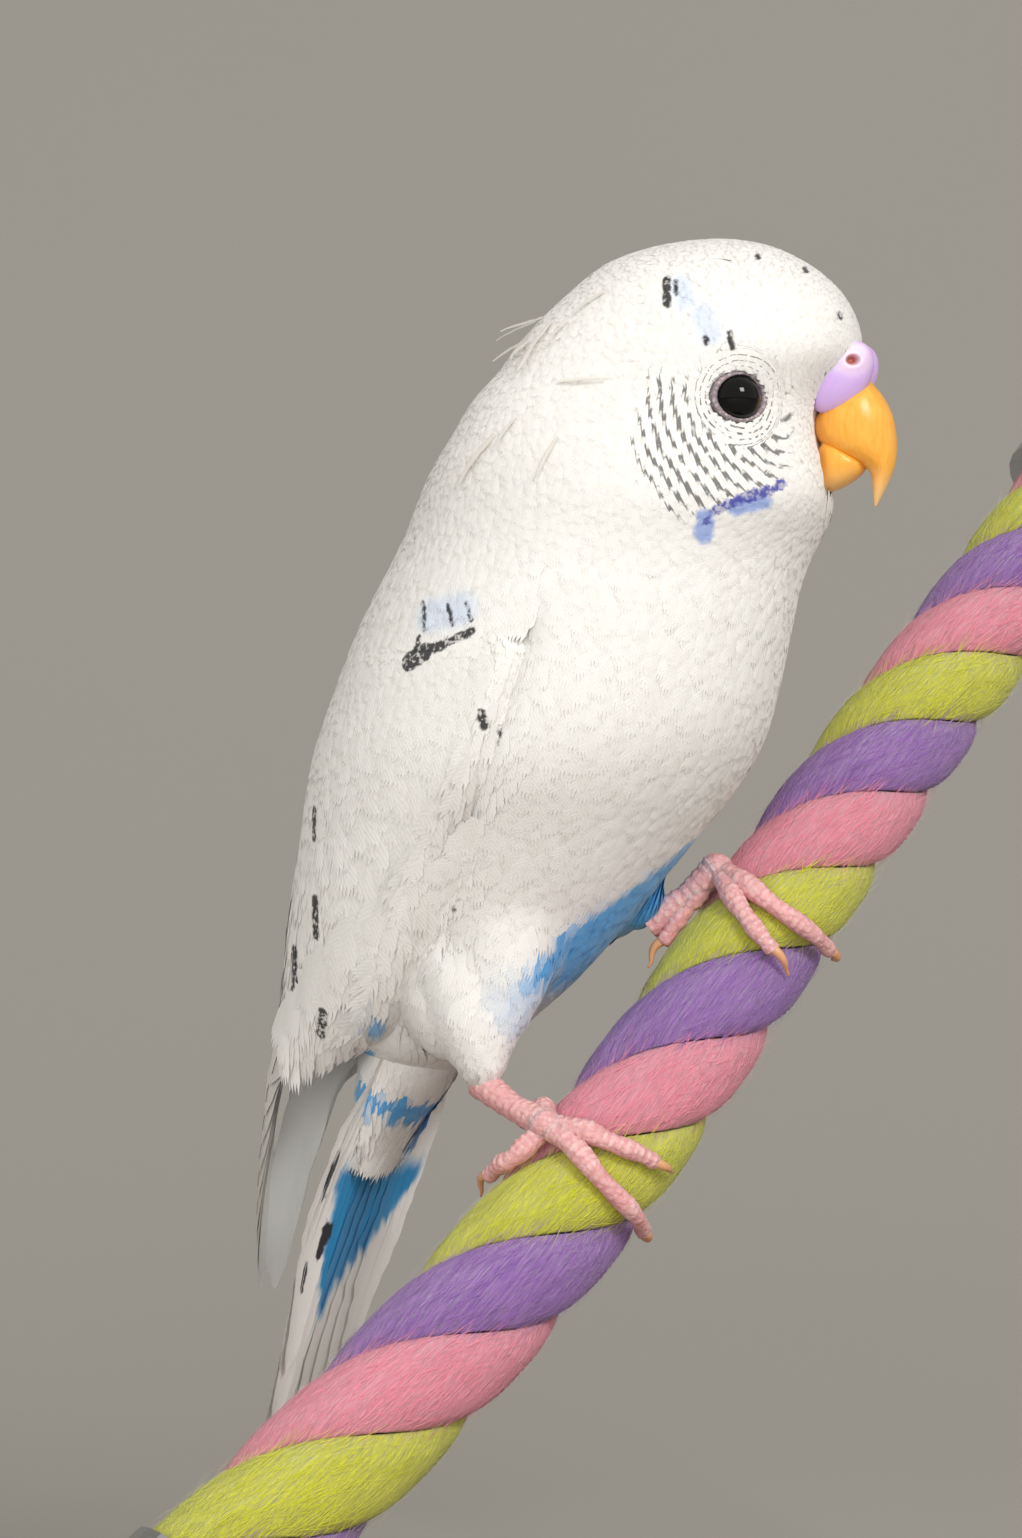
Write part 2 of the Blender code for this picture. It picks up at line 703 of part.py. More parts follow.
def make_bill(shop):
    """Cere with its nostrils, hooked upper bill and short lower bill, with the mouth line between."""
    upper = shop.piece("bill_upper", bill_mesh(), "horn_orange")
    cere = shop.piece("cere", cere_mesh(1), "cere_lilac")
    boolean(cere, "UNION", [shop.tool("lobe", cere_mesh(-1))])
    pits = []
    for side in (-1, 1):
        forward, left, height = NOSTRIL_SPOT
        pits.append(shop.tool("pit", ellipsoid(head(forward, side * left, height), [NOSTRIL_RADIUS] * 3,
                                               Matrix.Identity(3), 8, 6)))
    boolean(cere, "DIFFERENCE", [*pits, shop.tool("skull_tool", body_mesh(GAP))])
    boolean(upper, "DIFFERENCE", [shop.tool("skull_tool", body_mesh(GAP))])
    boolean(upper, "DIFFERENCE", [shop.tool("lobe_tool", cere_mesh(side, GAP)) for side in (-1, 1)])
    turn = Matrix.Rotation(math.radians(-HEAD_YAW), 3, "Z")
    lower = shop.piece("bill_lower", ellipsoid(head(*LOWER_BILL_SPOT), LOWER_BILL_RADII, turn, 12, 8),
                       "horn_orange")
    boolean(lower, "DIFFERENCE", [shop.tool("skull_tool", body_mesh(GAP)), shop.tool("upper_tool", bill_mesh(GAP))])


def on_wing(side, degrees, up, depth):
    """Point and outward normal of the folded wing's surface, depth millimetres below it."""
    _, centre, deep, wide = spline_at(WING_HULL, up)
    a = math.radians(degrees)
    place = bird(centre + (deep - depth) * math.cos(a), side * (wide - depth) * math.sin(a), up)
    normal = turned(math.cos(a) / deep, side * math.sin(a) / wide, BODY_YAW).normalized()
    return place, normal


def wing_core(side):
    """Arm and skin of the folded wing, a lens that thins toward its edges."""
    bm = bmesh.new()
    bmesh.ops.create_uvsphere(bm, u_segments=18, v_segments=8, radius=1.0)
    for vertex in bm.verts:
        x, y, z = vertex.co
        degrees = 119.0 + 49.0 * x
        up = -1.0 + 17.5 * z - 1.0 * x
        arm = smoothstep(-4.0, 12.0, up)
        thick = mix(0.9, 2.2, arm)
        depth = WING_DEPTH - 0.5 * thick + 0.5 * thick * (-y if side > 0 else y)
        vertex.co = on_wing(side, degrees, up, depth)[0]
    bmesh.ops.recalc_face_normals(bm, faces=bm.faces)
    return bm


def wing_feather(side, root, tip, depth, width, thickness=0.6, steps=4, tilt=4.0):
    """One vane of the wing between two places, each an angle and a height."""
    points = []
    normals = []
    widths = []
    rises = []
    for i in range(steps + 1):
        t = i / steps
        place, normal = on_wing(side, mix(root[0], tip[0], t), mix(root[1], tip[1], t), mix(depth[0], depth[1], t))
        points.append(place)
        normals.append(normal)
        widths.append(width * (0.8 + 0.35 * t - 0.78 * max(0.0, t - 0.72) / 0.28))
        rises.append(thickness * (1.0 - 0.45 * smoothstep(0.75, 1.0, t)))
    return vane(points, normals, widths, rises, math.radians(tilt * side))


def wing_tiers(side):
    """All vanes of one folded wing, from the lowest tier to the highest."""
    vanes = []
    for i in range(PRIMARIES):
        tip = (154.0 - 8.0 * i, -61.5 + 6.6 * i)
        depth = (2.6 - 0.1 * i, 2.0 - 0.25 * i)
        vanes.append(wing_feather(side, (128.0 + 3.0 * i, -12.0), tip, depth, 5.6))
    for tier in WING_TIERS:
        for i in range(tier.count):
            u = i / (tier.count - 1)
            root = (mix(tier.front, tier.back, u) + tier.slant, mix(tier.root_front, tier.root_back, u))
            drop = math.sin(0.5 * math.pi * min(1.0, 1.5 * u))
            tip = (mix(tier.front, tier.back, u), mix(tier.tip_front, tier.tip_back, drop))
            vanes.append(wing_feather(side, root, tip, tier.depth, tier.width, steps=tier.steps))
    return vanes


def make_wings(shop):
    """Each folded wing: its arm with tiers of vanes fused to it, clear of the body."""
    for side, name in ((-1, "right"), (1, "left")):
        wing = shop.piece("wing_" + name, wing_core(side), "plumage_white")
        boolean(wing, "UNION", [shop.tool("vane", bm) for bm in wing_tiers(side)])
        boolean(wing, "DIFFERENCE", [shop.tool("torso_tool", body_mesh(GAP)),
                                     shop.tool("midline_tool", other_side(side))])


def other_side(side):
    """Block that fills the space beyond the midline from one wing."""
    bm = bmesh.new()
    bmesh.ops.create_cube(bm, size=1.0)
    middle = bird(-30.0, -side * (0.5 * MIDLINE_BLOCK[1] - 0.5 * GAP), -20.0)
    turn = Matrix.Rotation(math.radians(-BODY_YAW), 3, "Z")
    for vertex in bm.verts:
        vertex.co = middle + turn @ Vector([c * size for c, size in zip(vertex.co, MIDLINE_BLOCK)])
    return bm


def tail_core():
    """Fleshy root of the tail, flattening toward the feathers."""
    root, along, dorsal, left = tail_frame()
    rings = []
    for distance, deep, wide in TAIL_CORE:
        ring = []
        for k in range(18):
            a = 2.0 * math.pi * k / 18
            ring.append(root + along * (distance + GAP) + dorsal * deep * math.cos(a) + left * wide * math.sin(a))
        rings.append(ring)
    return loft(rings)


def tail_feathers():
    """Graduated tail feathers in pairs, the middle pair longest and uppermost."""
    root, along, dorsal, left = tail_frame()
    vanes = []
    for pair, length in enumerate(TAIL_PAIRS):
        for side in (-1, 1):
            points = []
            widths = []
            rises = []
            for i in range(5):
                t = i / 4
                spread = side * mix(0.9 + 0.8 * pair, 0.8 + 1.35 * pair, smoothstep(0.0, 0.5, t))
                bow = 1.2 * math.sin(math.pi * t)
                place = root + along * mix(3.0, length, t) + left * spread
                points.append(place + dorsal * (1.1 - 0.42 * pair + bow - (0.25 if side > 0 else 0.0)))
                taper = 0.72 if pair < 2 else 0.6
                widths.append(TAIL_FEATHER_WIDTH * (0.75 + 0.3 * t) * (1.0 - taper * smoothstep(0.55, 1.0, t)))
                rises.append(mix(0.7, 0.5, t))
            vanes.append(vane(points, [dorsal] * 5, widths, rises, math.radians(5.0 * side)))
    return vanes


def tail_coverts():
    """Short rounded feathers over and under the root of the tail."""
    root, along, dorsal, left = tail_frame()
    vanes = []
    for face, count, reach in ((1, 4, 20.0), (-1, 5, 27.0)):
        for i in range(count):
            across = 2.0 * i / (count - 1) - 1.0
            length = reach - 5.0 * abs(across)
            points = []
            widths = []
            for k in range(3):
                t = k / 2
                slim = mix(5.4, 2.0, t)
                lift = face * slim * math.sqrt(1.0 - (0.75 * across) ** 2)
                points.append(root + along * mix(1.5, length, t) + left * across * mix(5.0, 6.4, t) + dorsal * lift)
                widths.append(4.6 * (0.9 + 0.3 * t - 0.6 * smoothstep(0.6, 1.0, t)))
            normal = (dorsal * face + left * 0.8 * across).normalized()
            vanes.append(vane(points, [normal] * 3, widths, [0.8, 0.7, 0.5]))
    return vanes


def make_tail(shop):
    """Tail root with its fan of vanes fused."""
    tail = shop.piece("tail", tail_core(), "plumage_white")
    boolean(tail, "UNION", [shop.tool("vane", bm) for bm in tail_feathers() + tail_coverts()])
    boolean(tail, "DIFFERENCE", [shop.tool("torso_tool", body_mesh(GAP))])


def smooth_path(points, per_span=2):
    """Denser smooth path through points."""
    rows = [tuple(p) for p in points]
    count = per_span * (len(rows) - 1)
    return [Vector(spline(rows, i / per_span)) for i in range(count + 1)]


def toe_place(s, degrees, radius):
    """Point for the middle of a toe of a given radius that lies on the rope."""
    return rope_point(s, degrees, rope_radius(s) + TOE_LIFT * radius)


def claw_mesh(s, degrees, back, reach):
    """Curved tapered claw past the end of a toe, bending round the rope."""
    points = []
    radii = []
    for i in range(5):
        t = i / 4
        lift = rope_radius(s) + 0.75 + 0.5 * math.sin(math.pi * min(1.0, 1.3 * t)) - 0.2 * t
        points.append(rope_point(s + back * t, degrees + reach * t, lift))
        radii.append(mix(CLAW_RADIUS[0], CLAW_RADIUS[1], t ** 1.3))
    return tube(points, radii, 6)


def make_leg(shop, side, thigh, palm, toes):
    """Thigh, foot with its toes, and claws of one leg."""
    leg = shop.piece("thigh_" + side, tube([bird(f, w, u) for f, w, u, _ in thigh], [r for *_, r in thigh], 14),
                     "plumage_white")
    boolean(leg, "DIFFERENCE", [shop.tool("torso_tool", body_mesh(GAP)),
                                shop.tool("wing_guard", tube_guard(side))])
    heel = bird(*thigh[-1][:3])
    centre = toe_place(palm[0], palm[1], 1.9)
    along = (centre - heel).normalized()
    path = smooth_path([heel + along * GAP, heel.lerp(centre, 0.5) + Vector((0, 0, -0.4)), centre])
    foot = shop.piece("foot_" + side, tube(path, [TARSUS_RADIUS * (1.0 + 0.25 * abs(2 * i / (len(path) - 1) - 1))
                                                 for i in range(len(path))], 9), "skin_pink")
    limbs = [shop.tool("pad", ellipsoid(centre, (2.1, 2.1, 1.9), Matrix.Identity(3), 12, 8))]
    claws = []
    for toe, places in toes.items():
        marks = [(palm[0], palm[1]), *places]
        points = smooth_path([toe_place(s, a, mix(TOE_RADIUS[0], TOE_RADIUS[1], i / 4))
                              for i, (s, a) in enumerate(marks)])
        radii = []
        for i in range(len(points)):
            t = i / (len(points) - 1)
            joint = 1.0 + 0.1 * math.cos(6.0 * math.pi * t)
            radii.append(mix(TOE_RADIUS[0], TOE_RADIUS[1], t) * joint)
        limbs.append(shop.tool("toe", tube(points, radii, 7)))
        (s0, a0), (s1, a1) = places[-2:]
        step = math.hypot(s1 - s0, math.radians(a1 - a0) * rope_radius(s1))
        ds = (s1 - s0) / step
        da = (a1 - a0) / step
        skip = GAP
        claws.append((toe, claw_mesh(s1 + ds * skip, a1 + da * skip, ds * 3.4, da * 3.4)))
    boolean(foot, "UNION", limbs)
    boolean(foot, "DIFFERENCE", rope_tools(shop))
    for toe, bm in claws:
        thing = shop.piece("claw_%s_%s" % (side, toe), bm, "claw_horn")
        boolean(thing, "DIFFERENCE", rope_tools(shop))


def tube_guard(side):
    """Space kept free for the foot below a thigh: nothing of the thigh reaches into it."""
    thigh = THIGH_RIGHT if side == "right" else THIGH_LEFT
    palm = RIGHT_PALM if side == "right" else LEFT_PALM
    heel = bird(*thigh[-1][:3])
    centre = toe_place(palm[0], palm[1], 1.9)
    along = (centre - heel).normalized()
    return tube([heel + along * 0.02, heel + along * 6.0], [3.5, 3.5], 8)


def clear_scene():
    """Remove what the file starts with."""
    for thing in list(bpy.data.objects):
        bpy.data.objects.remove(thing)


def main():
    """Build every piece."""
    clear_scene()
    shop = Workshop()
    make_rope(shop)
    make_stand(shop)
    make_body(shop)
    make_bill(shop)
    make_wings(shop)
    make_tail(shop)
    make_leg(shop, "right", THIGH_RIGHT, RIGHT_PALM, RIGHT_TOES)
    make_leg(shop, "left", THIGH_LEFT, LEFT_PALM, LEFT_TOES)


main()
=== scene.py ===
"""The looks of a life-size budgerigar on a twisted rope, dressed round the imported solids.

Sizes are in millimetres until a mesh is made, and every mesh is in metres in the frame's own axes.
The bird is measured forward, to its left and up from its mid-body mark; the rope is measured along
its centre line and round it. Feathers are thin meshes laid over one skin, in the lie of the coat.
"""
import json
import logging
import math
from dataclasses import dataclass, field
from enum import Enum
from itertools import product
from typing import Callable, Dict, Iterable, List, Optional, Sequence, Tuple

import bmesh
import bpy
import numpy as np
from mathutils import Matrix, Vector, noise
from mathutils.bvhtree import BVHTree

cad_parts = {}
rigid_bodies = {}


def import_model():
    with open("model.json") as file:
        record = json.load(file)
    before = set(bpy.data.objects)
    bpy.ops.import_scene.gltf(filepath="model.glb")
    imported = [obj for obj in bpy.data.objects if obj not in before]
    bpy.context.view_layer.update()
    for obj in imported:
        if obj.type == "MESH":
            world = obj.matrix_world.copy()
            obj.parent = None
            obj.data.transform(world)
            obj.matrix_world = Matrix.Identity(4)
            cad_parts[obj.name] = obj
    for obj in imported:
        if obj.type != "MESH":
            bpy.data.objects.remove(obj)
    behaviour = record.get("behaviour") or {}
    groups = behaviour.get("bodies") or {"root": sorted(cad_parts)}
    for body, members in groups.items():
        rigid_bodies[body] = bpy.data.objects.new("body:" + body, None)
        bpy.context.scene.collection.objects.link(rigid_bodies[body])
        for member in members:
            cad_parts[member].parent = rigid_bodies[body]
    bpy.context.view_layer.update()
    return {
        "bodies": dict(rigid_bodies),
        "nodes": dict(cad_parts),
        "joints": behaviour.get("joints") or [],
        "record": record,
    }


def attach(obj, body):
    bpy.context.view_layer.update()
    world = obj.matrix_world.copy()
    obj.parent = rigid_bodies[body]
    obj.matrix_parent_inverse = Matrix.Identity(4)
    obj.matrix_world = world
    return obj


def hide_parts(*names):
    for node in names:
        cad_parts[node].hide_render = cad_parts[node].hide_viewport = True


LOG = logging.getLogger("budgerigar")
MM = 0.001
DEPTH_SHARE = 0.2
ROOT_BODY = "root"
# Places in the head's own frame
EYE_SPOT = (9.2, 12.6, 39.8)
CERE_PALE = (19.6, 3.4, 44.6)
# Numbers that every plumage mesh stores for its material
MARKS = ("rand", "blue", "cheek", "black")
# Bands of the unwrapped skin, the wings' by side, and the size of a feather on it
SKIN_REGION = 0.0
WING_REGION = {1: 1.0, -1: 2.0}
SOFT_REGION = 3.0
PATCH_SIZE = 0.003
# Draws for each feather, the least squared share of the spacing, and how far sizes vary
OVERDRAW = 2.2
CROWDING = 0.72
SIZE_SPREAD = (0.85, 1.15)
LIFT_SPREAD = (0.6, 1.3)
ROOT_DEPTH = 0.05
NEIGHBOURS = tuple(product((-1, 0, 1), repeat=3))
Row = Tuple[float, ...]
Kept = Dict[Tuple[int, ...], List[Row]]
BMesh = bmesh.types.BMesh
Material = bpy.types.Material
Object = bpy.types.Object
Socket = bpy.types.NodeSocket


class Side(Enum):
    """The bird's own right and left, by the sign of a distance to its left."""

    RIGHT = -1
    LEFT = 1


def smoothstep(low: float, high: float, value: float) -> float:
    """Smooth ramp from 0 at low to 1 at high.

    Args:
        low: Value that gives 0, which may be the larger.
        high: Value that gives 1.
        value: Value to place on the ramp.

    Returns:
        A number from 0 to 1.
    """
    t = min(1.0, max(0.0, (value - low) / (high - low)))
    return t * t * (3.0 - 2.0 * t)


def mix(a: float, b: float, t: float) -> float:
    """Value between a and b."""
    return a + (b - a) * t


def spline(rows: Sequence[Row], t: float) -> List[float]:
    """Smooth values through rows of numbers.

    Args:
        rows: Rows of equal length.
        t: Place along the rows, counted in rows.

    Returns:
        One row of values.
    """
    last = len(rows) - 1
    i = min(last - 1, max(0, int(t)))
    u = min(1.0, max(0.0, t - i))
    before = rows[i - 1] if i > 0 else [2 * a - b for a, b in zip(rows[0], rows[1])]
    after = rows[i + 2] if i + 2 <= last else [2 * b - a for a, b in zip(rows[last - 1], rows[last])]
    values = []
    for p0, p1, p2, p3 in zip(before, rows[i], rows[i + 1], after):
        curve = 2 * p1 + (p2 - p0) * u + (2 * p0 - 5 * p1 + 4 * p2 - p3) * u ** 2
        values.append(0.5 * (curve + (3 * p1 - p0 - 3 * p2 + p3) * u ** 3))
    return values


def spline_at(rows: Sequence[Row], key: float) -> List[float]:
    """Smooth values of a table whose first column falls.

    Args:
        rows: Table with a falling first column.
        key: Value of the first column.

    Returns:
        One row of values.
    """
    for i in range(len(rows) - 1):
        if key >= rows[i + 1][0]:
            break
    u = (rows[i][0] - key) / (rows[i][0] - rows[i + 1][0])
    return spline(rows, i + min(1.0, max(0.0, u)))


def turned(forward: float, left: float, yaw: float) -> Vector:
    """Plan vector for a distance forward and to the left of something turned by yaw degrees."""
    c = math.cos(math.radians(yaw))
    s = math.sin(math.radians(yaw))
    return Vector((forward * c + left * s, -forward * s + left * c, 0.0))


def turned_back(offset: Vector, yaw: float) -> Tuple[float, float, float]:
    """Forward, left and up of an offset in a frame turned by yaw degrees."""
    c = math.cos(math.radians(yaw))
    s = math.sin(math.radians(yaw))
    return offset.x * c - offset.y * s, offset.x * s + offset.y * c, offset.z


def around(count: int) -> List[float]:
    """Evenly spaced angles round a circle, in radians."""
    return [2.0 * math.pi * k / count for k in range(count)]


def tangent_at(points: Sequence[Vector], i: int) -> Vector:
    """Direction of a path at one of its points."""
    return (points[min(i + 1, len(points) - 1)] - points[max(i - 1, 0)]).normalized()


def squared(vector: Vector, tangent: Vector) -> Vector:
    """Unit vector of the part of a vector that is square to a direction."""
    return (vector - tangent * vector.dot(tangent)).normalized()


def grid_faces(rows: int, columns: int) -> List[Tuple[int, int, int]]:
    """Triangles of a grid whose points are counted row by row."""
    faces = []
    for r, c in product(range(rows - 1), range(columns - 1)):
        a = r * columns + c
        faces += [(a, a + 1, a + columns + 1), (a, a + columns + 1, a + columns)]
    return faces


@dataclass(frozen=True)
class Pose:
    """Where the bird, its head and the rope stand, and how they are turned."""

    bird: Vector = field(default_factory=lambda: Vector((-17.25, -9.8, 117.0)))
    rope: Vector = field(default_factory=lambda: Vector((-23.3, -9.8, 117.0)))
    head: Vector = field(default_factory=lambda: Vector((-5.1, -18.3, 117.0)))
    body_yaw: float = 35.0
    head_yaw: float = 12.0

    def bird_point(self, forward: float, left: float, up: float) -> Vector:
        """Point measured from the bird's mid-body mark."""
        return self.bird + turned(forward, left, self.body_yaw) + Vector((0.0, 0.0, up))

    def head_point(self, forward: float, left: float, up: float) -> Vector:
        """Point measured in the head's own frame."""
        return self.head + turned(forward, left, self.head_yaw) + Vector((0.0, 0.0, up))

    def in_bird(self, point: Vector) -> Tuple[float, float, float]:
        """Forward, left and up of a point from the bird's mid-body mark."""
        return turned_back(point - self.bird, self.body_yaw)

    def in_head(self, point: Vector) -> Tuple[float, float, float]:
        """Forward, left and up of a point in the head's own frame."""
        return turned_back(point - self.head, self.head_yaw)


POSE = Pose()


@dataclass(frozen=True)
class Colour:
    """A paint or pigment colour as an sRGB hex value."""

    code: str

    def linear(self) -> Tuple[float, float, float, float]:
        """Linear colour with full alpha."""
        channels = []
        for i in (0, 2, 4):
            value = int(self.code[i:i + 2], 16) / 255.0
            channels.append(value / 12.92 if value <= 0.04045 else ((value + 0.055) / 1.055) ** 2.4)
        return (*channels, 1.0)


class Nodes:
    """A material's node tree with one function that adds a node."""

    def __init__(self, name: str, **shader: object) -> None:
        """Start a Principled material.

        Args:
            name: Material name.
            **shader: Uniform values for the shader's sockets, with _ for spaces.
        """
        self.material = bpy.data.materials.new(name)
        self.material.use_nodes = True
        self.tree = self.material.node_tree
        self.shader = self.tree.nodes["Principled BSDF"]
        for key, value in shader.items():
            socket = key.replace("_", " ")
            self.shader.inputs[socket].default_value = value

    def add(self, kind: str, settings: Optional[Dict[str, object]] = None,
            **inputs: object) -> bpy.types.Node:
        """Add a node with its settings and links.

        Args:
            kind: Node type without its ShaderNode prefix.
            settings: Properties of the node.
            **inputs: Socket values or links, keyed by socket name or by i and a number.

        Returns:
            The new node.
        """
        item = self.tree.nodes.new("ShaderNode" + kind)
        for key, value in (settings or {}).items():
            setattr(item, key, value)
        for key, value in inputs.items():
            numbered = key[0] == "i" and key[1:].isdigit()
            self.feed(item.inputs[int(key[1:]) if numbered else key.replace("_", " ")], value)
        return item

    def feed(self, socket: Socket, value: object) -> None:
        """Link a socket to a node or to another socket, or set its value."""
        if isinstance(value, bpy.types.Node):
            value = value.outputs[0]
        if isinstance(value, Socket):
            self.tree.links.new(value, socket)
        else:
            socket.default_value = value.linear() if isinstance(value, Colour) else value

    def math(self, operation: str, *values: object) -> Socket:
        """Result of one arithmetic step on sockets or numbers."""
        inputs = {"i%d" % i: value for i, value in enumerate(values)}
        return self.add("Math", {"operation": operation}, **inputs).outputs[0]

    def times(self, a: object, b: object) -> Socket:
        """Product of two sockets or numbers."""
        return self.math("MULTIPLY", a, b)

    def plus(self, a: object, b: object) -> Socket:
        """Sum of two sockets or numbers."""
        return self.math("ADD", a, b)

    def minus(self, a: object, b: object) -> Socket:
        """Difference of two sockets or numbers."""
        return self.math("SUBTRACT", a, b)

    def shaken(self, value: object, noise: object, amount: float) -> Socket:
        """A value moved up and down by a noise."""
        return self.plus(value, self.times(self.minus(noise, 0.5), amount))

    def vector(self, operation: str, *values: object) -> bpy.types.Node:
        """Node for one vector step on sockets or vectors."""
        inputs = {"i%d" % i: value for i, value in enumerate(values)}
        return self.add("VectorMath", {"operation": operation}, **inputs)

    def ramp(self, value: object, low: float, high: float, to_low: float = 0.0,
             to_high: float = 1.0) -> Socket:
        """Smooth ramp between two values."""
        item = self.add("MapRange", {"interpolation_type": "SMOOTHSTEP"}, Value=value)
        for key, number in (("From Min", low), ("From Max", high), ("To Min", to_low), ("To Max", to_high)):
            item.inputs[key].default_value = number
        return item.outputs[0]

    def blend(self, share: object, a: object, b: object) -> Socket:
        """Colour between a and b by a share."""
        item = self.add("Mix", {"data_type": "RGBA"})
        for index, value in ((0, share), (6, a), (7, b)):
            self.feed(item.inputs[index], value)
        return item.outputs[2]

    def noise(self, coordinates: object, scale: float, detail: float = 2.0) -> Socket:
        """Fractal noise at a scale in features for each unit."""
        return self.add("TexNoise", None, Vector=coordinates, Scale=scale, Detail=detail).outputs[0]

    def grain(self, scale: float, detail: float = 2.0) -> Socket:
        """Fractal noise in object coordinates."""
        return self.noise(self.place(), scale, detail)

    def attribute(self, name: str) -> Socket:
        """A number stored on the mesh."""
        return self.add("Attribute", {"attribute_name": name}).outputs["Fac"]

    def place(self) -> Socket:
        """Object coordinates."""
        return self.add("TexCoord").outputs["Object"]

    def framed(self, mark: Vector, yaw: float) -> Tuple[Socket, Socket]:
        """Coordinates in millimetres in a turned frame.

        Args:
            mark: The frame's origin in millimetres.
            yaw: The frame's yaw in degrees.

        Returns:
            The coordinates as they are, and with the left side folded onto the right.
        """
        shifted = self.vector("SUBTRACT", self.place(), tuple(mark * MM))
        turn = self.add("VectorRotate", {"rotation_type": "Z_AXIS"}, Vector=shifted, Angle=math.radians(yaw))
        scaled = self.add("VectorMath", {"operation": "SCALE"}, i0=turn, Scale=1.0 / MM)
        parts = self.add("SeparateXYZ", None, i0=scaled)
        folded = self.add("CombineXYZ", None, X=parts.outputs[0], Y=self.math("ABSOLUTE", parts.outputs[1]),
                          Z=parts.outputs[2])
        return scaled.outputs[0], folded.outputs[0]

    def stroke(self, place: object, mark: "Mark") -> Socket:
        """Mask of a short stroke between two places, 1 on it and 0 away from it.

        Args:
            place: Coordinates in the same frame as the stroke, flattened by its depth share.
            mark: The stroke.

        Returns:
            The mask.
        """
        flat = Vector((1.0, DEPTH_SHARE, 1.0))
        a = Vector(mark.start) * flat
        d = Vector(mark.end) * flat - a
        length = max(d.length, 1e-3)
        d.normalize()
        offset = self.vector("SUBTRACT", place, tuple(a)).outputs[0]
        along = self.vector("DOT_PRODUCT", offset, tuple(d)).outputs["Value"]
        held = self.add("Clamp", None, Value=along, Min=0.0, Max=length).outputs[0]
        foot = self.add("VectorMath", {"operation": "SCALE"}, i0=tuple(d), Scale=held)
        away = self.vector("DISTANCE", offset, foot.outputs[0]).outputs["Value"]
        return self.ramp(away, 0.5 * mark.width + mark.soft, 0.5 * mark.width - 0.3 * mark.soft)

    def strokes(self, place: object, marks: Sequence["Mark"], fray: float = 0.0) -> object:
        """Mask of several strokes, with an edge that may be frayed.

        Args:
            place: Coordinates in the strokes' own frame.
            marks: The strokes.
            fray: How far the edge wanders.

        Returns:
            The strongest of the strokes at each place.
        """
        flat = self.vector("MULTIPLY", place, (1.0, DEPTH_SHARE, 1.0)).outputs[0]
        if fray:
            fine = self.add("TexNoise", None, Vector=self.place(), Scale=1300.0, Detail=2.0).outputs["Color"]
            centred = self.vector("SUBTRACT", fine, (0.5, 0.5, 0.5)).outputs[0]
            flat = self.vector("MULTIPLY_ADD", centred, (fray, fray, fray), flat).outputs[0]
        return self.either([self.stroke(flat, mark) for mark in marks])

    def either(self, masks: Iterable[object]) -> object:
        """The strongest of several masks."""
        result: object = 0.0
        for mask in masks:
            result = self.math("MAXIMUM", result, mask)
        return result

    def bump(self, height: object, strength: float, distance: float) -> None:
        """Surface relief from a height, at a depth in metres."""
        item = self.add("Bump", None, Height=height, Strength=strength, Distance=distance)
        self.tree.links.new(item.outputs[0], self.shader.inputs["Normal"])

    def colour(self, value: object) -> None:
        """Link the base colour."""
        self.tree.links.new(value, self.shader.inputs["Base Color"])


@dataclass(frozen=True)
class Mark:
    """One small stroke of colour on the plumage, on both sides alike."""

    start: Row
    end: Row
    width: float
    soft: float = 0.25


HEAD_DARK = (
    Mark((1.0, 11.6, 52.6), (1.3, 13.3, 49.8), 0.75),
    Mark((2.0, 12.0, 52.4), (2.2, 13.0, 50.9), 0.35),
    Mark((8.1, 14.3, 46.6), (8.5, 14.1, 44.9), 0.45),
    Mark((5.7, 14.8, 46.0), (5.8, 14.8, 45.5), 0.5),
    Mark((10.1, 6.9, 55.6), (10.2, 7.3, 55.2), 0.4),
    Mark((14.9, 4.4, 54.3), (15.1, 4.6, 53.9), 0.4),
    Mark((18.8, 5.0, 49.2), (18.8, 5.1, 48.8), 0.4),
)
HEAD_TINT = (
    Mark((2.5, 12.2, 51.9), (3.2, 13.2, 50.2), 1.6, 1.0),
    Mark((5.2, 13.9, 48.5), (6.2, 14.7, 46.5), 1.8, 1.2),
)
VIOLET = (
    Mark((7.0, 15.2, 27.6), (9.8, 13.9, 29.0), 0.8),
    Mark((9.8, 13.9, 29.0), (12.0, 12.0, 29.7), 1.0),
    Mark((12.0, 12.0, 29.7), (13.3, 10.7, 30.5), 0.8),
    Mark((7.0, 15.2, 27.6), (5.8, 15.3, 26.4), 0.6),
)
PALE_BLUE = (
    Mark((8.8, 14.5, 27.8), (11.6, 12.5, 28.5), 1.2, 0.5),
    Mark((5.8, 15.5, 26.7), (5.5, 14.9, 25.0), 1.5, 0.5),
)
